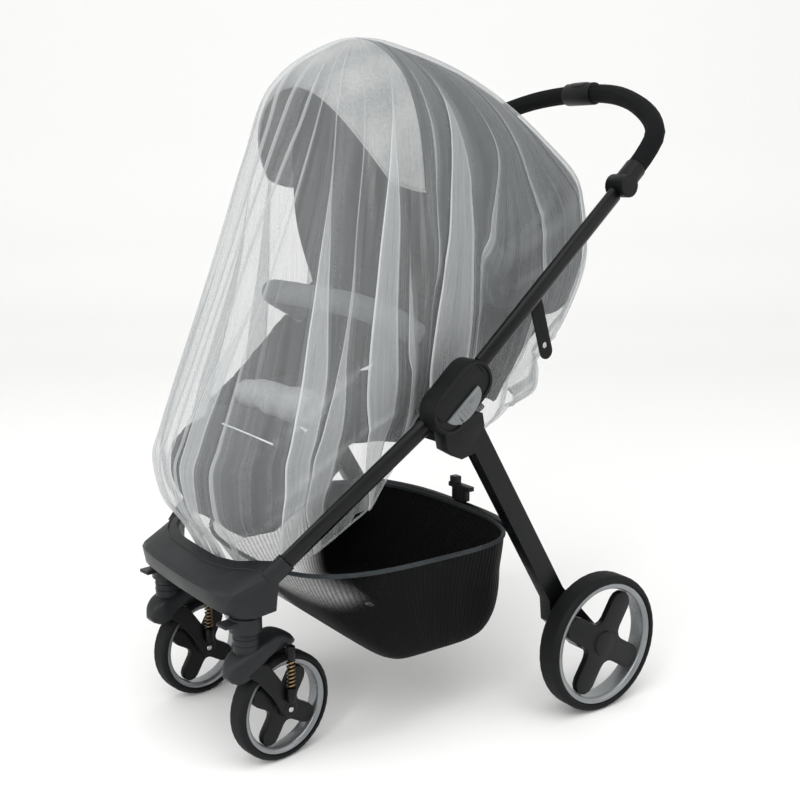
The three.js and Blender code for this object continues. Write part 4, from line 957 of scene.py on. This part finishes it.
# name, two colours, roughness, grain in mm, strength of the bump
POWDER_COAT = moulded("powder_coated_aluminium", "#060708", "#0a0b0c", 0.3, 1.2, 0.1, specular=0.22)
NYLON = moulded("glass_filled_nylon", "#08090a", "#0d0e0f", 0.42, 0.5, 0.3, specular=0.2)
GREY_NYLON = moulded("grey_nylon", "#141618", "#1a1d1f", 0.42, 0.5, 0.25, specular=0.25)
FOAM = moulded("eva_foam", "#0b0c0d", "#111213", 0.85, 1.4, 0.7, specular=0.14)
RUBBER = moulded("eva_rubber_tyre", "#0d0e0f", "#161718", 0.7, 1.0, 0.5, specular=0.18)
SILVER = moulded("silver_painted_rim", "#7c7f81", "#8f9294", 0.3, 0.8, 0.08, metallic=0.7)
BRONZE = moulded("spring_steel", "#7d6a4c", "#94805e", 0.32, 0.8, 0.1, metallic=1.0)
BOLT = moulded("zinc_bolt", "#b0b0ac", "#cfcfca", 0.3, 0.8, 0.1, metallic=1.0)
print("hard materials:", len(bpy.data.materials))

# %% [markdown]
# The reflector is clear acrylic with a moulded prism pattern on its back. From outside it is a pale grey
# tile whose ribs flash here and there. Fine ribs in the bump and a clear coat give part of that, and the
# base colour paints each rib with a light and a dark side: painted highlight and shade of the prisms.

# %% Reflector and webbing
def acrylic_prism():
    """Prism ribs at 2.2 mm, as wide as they are on the real lens."""
    material, tree = new_material("acrylic_reflector")
    place = node(tree, "ShaderNodeTexCoord").outputs["Object"]
    turned = node(tree, "ShaderNodeMapping", {"Vector": place, "Rotation": (0, math.radians(42), 0)})
    prisms = bands(tree, turned.outputs[0], 2.2, "X", wave_profile="SAW")
    # Each rib's colour runs from dark to light across its saw profile: painted shade and highlight of the prism
    # faces
    colour = ramp(tree, prisms, [(0.2, linear("#3c4042")), (0.8, linear("#7e8283"))])
    lens = node(tree, "ShaderNodeBsdfPrincipled", {
        "Base Color": colour, "Roughness": 0.22, "IOR": 1.49, "Coat Weight": 0.8, "Coat Roughness": 0.05,
        "Normal": bumped(tree, prisms, 0.4, 0.5)})
    output(tree, lens.outputs[0])
    return material


def webbing():
    """Polypropylene webbing: a herringbone of 1.5 mm yarns."""
    material, tree = new_material("polypropylene_webbing")
    place = node(tree, "ShaderNodeTexCoord").outputs["Object"]
    rows, yarns = bands(tree, place, 1.516, "Z", 0.5), bands(tree, place, 1.516, "DIAGONAL", 1.2)
    cross = maths(tree, "MULTIPLY", rows, yarns)
    # The colour follows the weave's height, darker in its grooves and lighter on its crests: painted shade in the
    # weave
    colour = ramp(tree, cross, [(0.1, linear("#070808")), (0.9, linear("#161718"))])
    cloth = node(tree, "ShaderNodeBsdfPrincipled", {
        "Base Color": colour, "Roughness": 0.62, "Specular IOR Level": 0.2,
        "Normal": bumped(tree, cross, 0.6, 0.6)})
    output(tree, cloth.outputs[0])
    return material


ACRYLIC, WEBBING = acrylic_prism(), webbing()
print("reflector and webbing ready")

# %% [markdown]
# ## Hard parts
# Moulded parts never have knife edges: the tool's corners are rounded by a millimetre or so, and that
# rounding catches a thin line of light. Each hard piece is a copy of its solid with its corners rounded
# by a bevel, and smooth normals over everything that is nearly flat.

# %% Rounded copies
BEVEL_ANGLE, SHARP_ANGLE = 28, 40  # degrees


def rounded(node_name, material, radius, segments, name=None):
    obj = copy_of(node_name, name or node_name + "_moulded")
    modifier(obj, "WELD", merge_threshold=0.00005)
    modifier(obj, "BEVEL", width=radius * MM, segments=segments, limit_method="ANGLE",
             angle_limit=math.radians(BEVEL_ANGLE), use_clamp_overlap=True, harden_normals=False)
    apply_modifiers(obj)
    finish_copy(obj, node_name, material, SHARP_ANGLE)
    return obj


# name, material, slot, radius of the rounding in mm, its steps
HARD_PARTS = [
    ("hub", NYLON, "plastic", 4.0, 4), ("reflector", ACRYLIC, "reflector", 1.0, 2),
    ("upper_tube", POWDER_COAT, "frame", 0.8, 2), ("lower_tube", POWDER_COAT, "frame", 0.8, 2),
    ("leg", POWDER_COAT, "frame", 1.5, 3), ("seat_mount", NYLON, "plastic", 1.5, 2),
    ("hinge", NYLON, "plastic", 1.8, 3), ("grip", FOAM, "foam", 0.6, 2),
    ("rear_cover", NYLON, "plastic", 2.0, 3), ("front_cover", NYLON, "plastic", 1.6, 3),
    ("collar", GREY_NYLON, "grey_plastic", 1.2, 3),
]
for side in ("near", "far"):
    for part_name, material, slot, radius, segments in HARD_PARTS:
        rounded(f"{side}_{part_name}", material, radius, segments)
MIDDLE_PARTS = [
    ("crossbar", POWDER_COAT, "frame", 0.8), ("crossbar_lever", NYLON, "plastic", 1.5),
    ("bridge", GREY_NYLON, "grey_plastic", 2.0), ("handle_sleeve", NYLON, "plastic", 1.5),
]
for node_name, material, slot, radius in MIDDLE_PARTS:
    rounded(node_name, material, radius, 3)
HUB_PLACE, HUB_TURN, HUB_OUTER_Y = (-76, 549), math.radians(42.4), 269
HUB_HALF, PANEL_HALF, PANEL_SHIFT = (58.5, 28.5), (50, 21), 10  # half length and half width of each oval


def along_hub(points, side, proud):
    """Puts (x, z) pairs that are measured along the hub on its outer face."""
    c, s = math.cos(HUB_TURN), math.sin(HUB_TURN)
    y = side * (HUB_OUTER_Y + proud)
    return [(HUB_PLACE[0] + x * c - z * s, y, HUB_PLACE[1] + x * s + z * c) for x, z in points]


def arc(x, y, radius, start, end, count=6):
    angles = np.radians(np.linspace(start, end, count))
    return [(x + radius * math.cos(a), y + radius * math.sin(a)) for a in angles]


def oval(half_length, half_width):
    """A bar with round ends, as a ring of (x, z) pairs."""
    right = arc(half_length - half_width, 0, half_width, -90, 90, 12)
    return right + [(-x, -z) for x, z in right]


for side_name, side in (("near", -1), ("far", 1)):
    rim_line = along_hub(oval(*HUB_HALF), side, 0.4)
    tube(side_name + "_hub_rim", rim_line, 2.6, NYLON, "plastic", sides=10, closed=True)
    panel = [(x, z + PANEL_SHIFT) for x, z in oval(*PANEL_HALF) if z + PANEL_SHIFT > -1]
    panel_line = along_hub(panel, side, 1.2)
    tube(side_name + "_hub_panel_edge", panel_line, 1.1, NYLON, "plastic", sides=8)

# An oval button on the sleeve, bent round the handle, and a raised line along the back of the bridge
HANDLE_X, HANDLE_Z, BUTTON_BASE = 400, 998, 19.4
BUTTON_HALF = (23, 12)  # along the handle and round it
r, a = np.linspace(0, 1, 14)[:, None], np.linspace(0, 2 * math.pi, 49)[None, :-1]
height = BUTTON_BASE + 1.6 * (1 - r ** 4) ** 0.5 + 0 * a
bend = math.radians(22) + r * np.sin(a) * BUTTON_HALF[1] / 19.5
button = np.stack([HANDLE_X - height * np.sin(bend), BUTTON_HALF[0] * r * np.cos(a),
                   HANDLE_Z + height * np.cos(bend)], -1)
put("sleeve_button", grid_mesh("sleeve_button", button, wrap=True), POWDER_COAT, "frame")
# distance from the middle, front x, back x, front z, back z
BRIDGE_ROWS = [(0, -420, -365, 289, 308), (60, -419, -365, 289, 309), (105, -415, -355, 289, 313),
               (132, -408, -337, 287, 318), (152, -396, -322, 282, 320)]
line_y, line_share = np.linspace(-146, 146, 80), 0.7
front_x, back_x, lip_z, crest_z = smooth(BRIDGE_ROWS, np.abs(line_y)).T
bridge_line = np.stack([front_x + 5 + line_share * (back_x - front_x - 10), line_y,
                        lip_z + line_share * (crest_z - lip_z)], -1)
tube("bridge_edge_line", bridge_line, 1.5, GREY_NYLON, "grey_plastic", sides=8)
strap = rounded("strap", WEBBING, 0.5, 2, name="webbing_tab")
print("hard parts:", 2 * len(HARD_PARTS) + len(MIDDLE_PARTS) + 1)

# %% [markdown]
# ## Front forks
# A front fork is one moulding: a round stem with two parting grooves, a crown that arches over the wheel
# like a mudguard and ends in a blunt tip at the front, and two flat arms down to the axle. Moulded shapes
# like this have no flat sides, so the crown is lofted through rounded rings that follow its upper and lower
# lines, while the arms are plates with rounded edges.

# %% Fork parts
CASTER_X, CASTER_Y, TRAIL, SWIVEL = -366, 136, 59, 8.2
# place along the crown, then upper x and z, lower x and z, half width
CROWN_ROWS = [
    (0.00, -38, 156, -31, 147, 9), (0.12, -34, 172, -19, 142, 17), (0.25, -20, 186, -5, 147, 23),
    (0.40, 4, 194, 12, 162, 25), (0.55, 26, 201, 30, 174, 25), (0.72, 48, 206, 50, 179, 24),
    (0.88, 68, 199, 66, 178, 20), (1.00, 80, 186, 78, 179, 12),
]
ARM_LINE = [(-12, 156), (6, 170), (22, 166), (52, 122), (70, 98), (74, 84), (68, 73), (56, 71), (46, 78),
            (30, 108), (4, 142)]


def on_caster(points, sign):
    """Points in the fork's own frame, x behind the stem, turned by the swivel and put under the bridge."""
    c, s = math.cos(math.radians(SWIVEL)), math.sin(math.radians(SWIVEL))
    x, y, z = np.moveaxis(np.asarray(points, float), -1, 0)
    return np.stack([CASTER_X + x * c - y * s, sign * CASTER_Y + x * s + y * c, z], -1)


def crown_rings():
    rows = smooth(CROWN_ROWS, np.linspace(0, 1, 44))
    turn = np.linspace(0, 2 * math.pi, 36, endpoint=False)
    across = np.sign(np.cos(turn)) * np.abs(np.cos(turn)) ** 0.6
    upward = np.sign(np.sin(turn)) * np.abs(np.sin(turn)) ** 0.6
    top, low, half = rows[:, None, 0:2], rows[:, None, 2:4], rows[:, None, 4]
    middle, rise = (top + low) / 2, (top - low) / 2
    flat_ = middle + rise * upward[None, :, None]
    return capped(np.stack([flat_[..., 0], half * across[None, :], flat_[..., 1]], -1), (0.0, 0.6, 0.9))


def plate_piece(name, outline, y0, y1, place, material, slot, bevel):
    count = len(outline)
    points = [(x, y, z) for y in (y0, y1) for x, z in outline]
    faces = [tuple(range(count))[::-1], tuple(range(count, 2 * count))]
    faces += [(k, (k + 1) % count, (k + 1) % count + count, k + count) for k in range(count)]
    mesh = bpy.data.meshes.new(name)
    mesh.from_pydata((place(np.array(points, float)) * MM).tolist(), [], faces)
    obj = put(name, mesh, material, slot)
    modifier(obj, "BEVEL", width=bevel * MM, segments=3, limit_method="ANGLE", angle_limit=math.radians(30))
    apply_modifiers(obj)
    fix = bmesh.new()
    fix.from_mesh(obj.data)
    bmesh.ops.recalc_face_normals(fix, faces=fix.faces)
    fix.to_mesh(obj.data)
    fix.free()
    shade_smooth(obj.data, SHARP_ANGLE)


def rod(name, start, end, radius, material, slot, sides=24):
    """A short rod with rounded ends."""
    start, end = np.array(start, float), np.array(end, float)
    along = (end - start) / np.linalg.norm(end - start)
    edge = min(1.2, radius * 0.4)
    line = [start, start + along * edge, (start + end) / 2, end - along * edge, end]
    radii = np.array([radius - edge, radius, radius, radius, radius - edge])
    tube(name, line, radii, material, slot, sides=sides)


AXLE_Z = 83.8
ARMS = ((-24.5, -18.5), (18.5, 24.5))  # inner and outer y of each arm
# name, start, end, radius, material, slot, sides
FORK_RODS = [
    ("fork_stem", (0, 0, 170), (0, 0, 217.8), 19.4, GREY_NYLON, "grey_plastic", 40),
    ("stem_ring_0", (0, 0, 198), (0, 0, 200.4), 20.1, GREY_NYLON, "grey_plastic", 40),
    ("stem_ring_1", (0, 0, 208), (0, 0, 210.4), 20.1, GREY_NYLON, "grey_plastic", 40),
    ("fork_boss_0", (TRAIL, -25.1, AXLE_Z), (TRAIL, -17.9, AXLE_Z), 13.6, NYLON, "plastic", 36),
    ("fork_boss_1", (TRAIL, 17.9, AXLE_Z), (TRAIL, 25.1, AXLE_Z), 13.6, NYLON, "plastic", 36),
    ("axle_bolt", (TRAIL, -24, AXLE_Z), (TRAIL, -28, AXLE_Z), 4.5, BOLT, "spring", 24),
    ("spring_rod", (58, -29, 119), (58, -29, 182), 3.2, NYLON, "plastic", 16),
    ("spring_seat", (58, -29, 98), (58, -29, 120), 7.6, NYLON, "plastic", 24),
    ("spring_lug", (58, -29, 164), (58, -29, 186), 6.8, NYLON, "plastic", 20),
]
for side_name, sign in (("near", -1), ("far", 1)):
    place = lambda points, sign=sign: on_caster(points, sign)
    crown_mesh = grid_mesh(side_name + "_fork_crown", place(crown_rings()), wrap=True, flip=True)
    crown = put(side_name + "_fork_crown", crown_mesh, GREY_NYLON, "grey_plastic")
    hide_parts(side_name + "_fork")
    for number, (y0, y1) in enumerate(ARMS):
        plate_piece(f"{side_name}_fork_arm_{number}", ARM_LINE, y0, y1, place, NYLON, "plastic", bevel=2.2)
    for name, start, end, radius, material, slot, sides in FORK_RODS:
        rod(f"{side_name}_{name}", place(start), place(end), radius, material, slot, sides)
print("forks done")

# %% [markdown]
# ## Wheels
# Tyres and rims are bodies of revolution, so each is a profile swept in a full turn, with many more steps
# than the solid has. The tread is a row of shallow blocks: a short repeat of the outer radius.

# %% Wheels
def turned(name, profile, place, material, slot, segments=128, outer=None):
    """A closed ring from (radius, y) pairs in mm. place moves points from the wheel's own frame."""
    r, y = np.array(profile, float).T
    rows = []
    for index, a in enumerate(np.linspace(0, 2 * math.pi, segments, endpoint=False)):
        cut = r - outer(index, y, r) if outer else r
        rows.append(np.stack([cut * math.sin(a), y, cut * math.cos(a)], -1))
    points = np.array(rows)
    points = np.concatenate([points, points[:, :1]], 1)
    points = np.concatenate([points, points[:1]], 0)
    obj = put(name, grid_mesh(name, place(points)), material, slot)
    modifier(obj, "WELD", merge_threshold=0.00002)
    apply_modifiers(obj)
    obj.data.set_sharp_from_angle(angle=math.radians(50))
    return obj


def tyre_profile(radius, rim_outer, width):
    half = width / 2
    shoulder = 9
    return ([(rim_outer + 0.3, -half + 2.5)] + [(rim_outer + 3, -half + 0.6)]
            + arc(radius - shoulder, -half + shoulder, shoulder, -90, 0, 8)
            + arc(radius - shoulder, half - shoulder, shoulder, 0, 90, 8)
            + [(rim_outer + 3, half - 0.6), (rim_outer + 0.3, half - 2.5)])


def rim_profile(rim_outer, rim_inner, width):
    half = width / 2 - 3
    lower = [(rim_inner, -half + 6), (rim_inner + 1, -half + 3.4), (rim_inner + 3, -half + 1),
             (rim_outer - 1.5, -half), (rim_outer, -half + 1.5)]
    return lower + [(radius, -y) for radius, y in reversed(lower)]


GROOVE = 0.35  # mm


def tread(width):
    def depth(index, y, r):
        groove = GROOVE if index % 4 == 0 else 0.0
        return np.where(np.abs(y) > width * 0.16, groove, 0) * (r > r.max() - 4)
    return depth


def wheel(prefix, centre, turn, radius, rim_outer, rim_inner, width):
    c, s = math.cos(math.radians(turn)), math.sin(math.radians(turn))

    def place(points):
        x, y, z = np.moveaxis(points, -1, 0)
        return np.stack([centre[0] + x * c - y * s, centre[1] + x * s + y * c, centre[2] + z], -1)

    tyre = turned(prefix + "_tyre_round", tyre_profile(radius, rim_outer, width), place, RUBBER, "tyre", 160,
                  tread(width))
    rim = turned(prefix + "_rim_round", rim_profile(rim_outer, rim_inner, width), place, SILVER, "rim")
    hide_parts(prefix + "_tyre")
    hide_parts(prefix + "_rim")


COIL_TURNS = 7
# A wheel's numbers: place of its centre, swivel, then radius, rim's outer and inner radius, and width
for side, sign in (("near", -1), ("far", 1)):
    wheel(side + "_rear", (196.8, sign * 286.2, 114), 0, 114, 102, 91, 41)
    wheel(side + "_front", on_caster((TRAIL, 0, AXLE_Z), sign), SWIVEL, AXLE_Z, 74, 64, 34)
    winding = np.linspace(0, 2 * math.pi * COIL_TURNS, COIL_TURNS * 18)
    helix = np.stack([58 + 5.4 * np.cos(winding), -29 + 5.4 * np.sin(winding),
                      121 + 42 * winding / winding[-1]], -1)
    coil = tube(side + "_spring_coil", on_caster(helix, sign), 1.5, BRONZE, "spring", sides=8)
    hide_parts(side + "_spring")
print("wheels and springs done")

# %% [markdown]
# ## Studio
# A pale floor that runs up into a pale wall, one big soft light above and in front, a fill from the left
# and a white surround. Dark parts need something bright to reflect, which the big lights are.

# %% Floor and lights
def stage_floor():
    """Metres, with the wall square to the line of sight."""
    profile = [(-6, 0), (3.2, 0), (3.8, 0.1), (4.2, 0.45), (4.4, 1.0), (4.4, 6)]
    away, across = np.array([0.579, 0.815]), np.array([0.815, -0.579])
    points = [[(*(away * along + across * w), height) for w in np.linspace(-9, 9, 7)]
              for along, height in profile]
    mesh = grid_mesh("floor", np.array(points) / MM)
    material, tree = new_material("studio_paper")
    place = node(tree, "ShaderNodeTexCoord").outputs["Object"]
    colour = ramp(tree, noise(tree, place, 900.0, 2.0), [(0.3, linear("#f4f4f3")), (0.7, linear("#f8f8f7"))])
    paper = node(tree, "ShaderNodeBsdfPrincipled", {
        "Base Color": colour, "Roughness": 0.9, "Specular IOR Level": 0.1})
    output(tree, paper.outputs[0])
    floor = bpy.data.objects.new("floor", mesh)
    mesh.materials.append(material)
    bpy.context.scene.collection.objects.link(floor)


def area_light(name, location, target, size, power):
    data = bpy.data.lights.new(name, "AREA")
    data.shape = "RECTANGLE"
    data.size, data.size_y = size
    data.energy = power
    light = bpy.data.objects.new(name, data)
    light.location = location
    light.rotation_euler = (Vector(target) - Vector(location)).to_track_quat("-Z", "Y").to_euler()
    bpy.context.scene.collection.objects.link(light)


stage_floor()
area_light("top_softbox", (-0.8, -1.4, 3.2), (0, 0, 0.5), (3.0, 3.0), 50)
area_light("left_fill", (-3.2, 0.4, 1.6), (0, 0, 0.5), (2.0, 2.4), 32)
area_light("right_fill", (1.8, -2.8, 1.5), (0, 0, 0.5), (1.8, 2.2), 10)
area_light("edge_strip", (-2.2, -1.6, 2.3), (0, 0, 0.6), (0.25, 2.2), 14)
world = bpy.data.worlds.new("surround")
world.use_nodes = True
sky = world.node_tree.nodes["Background"]
sky.inputs["Color"].default_value = linear("#ffffff")
sky.inputs["Strength"].default_value = 0.85
bpy.context.scene.world = world
bpy.context.scene.view_settings.view_transform = "Standard"
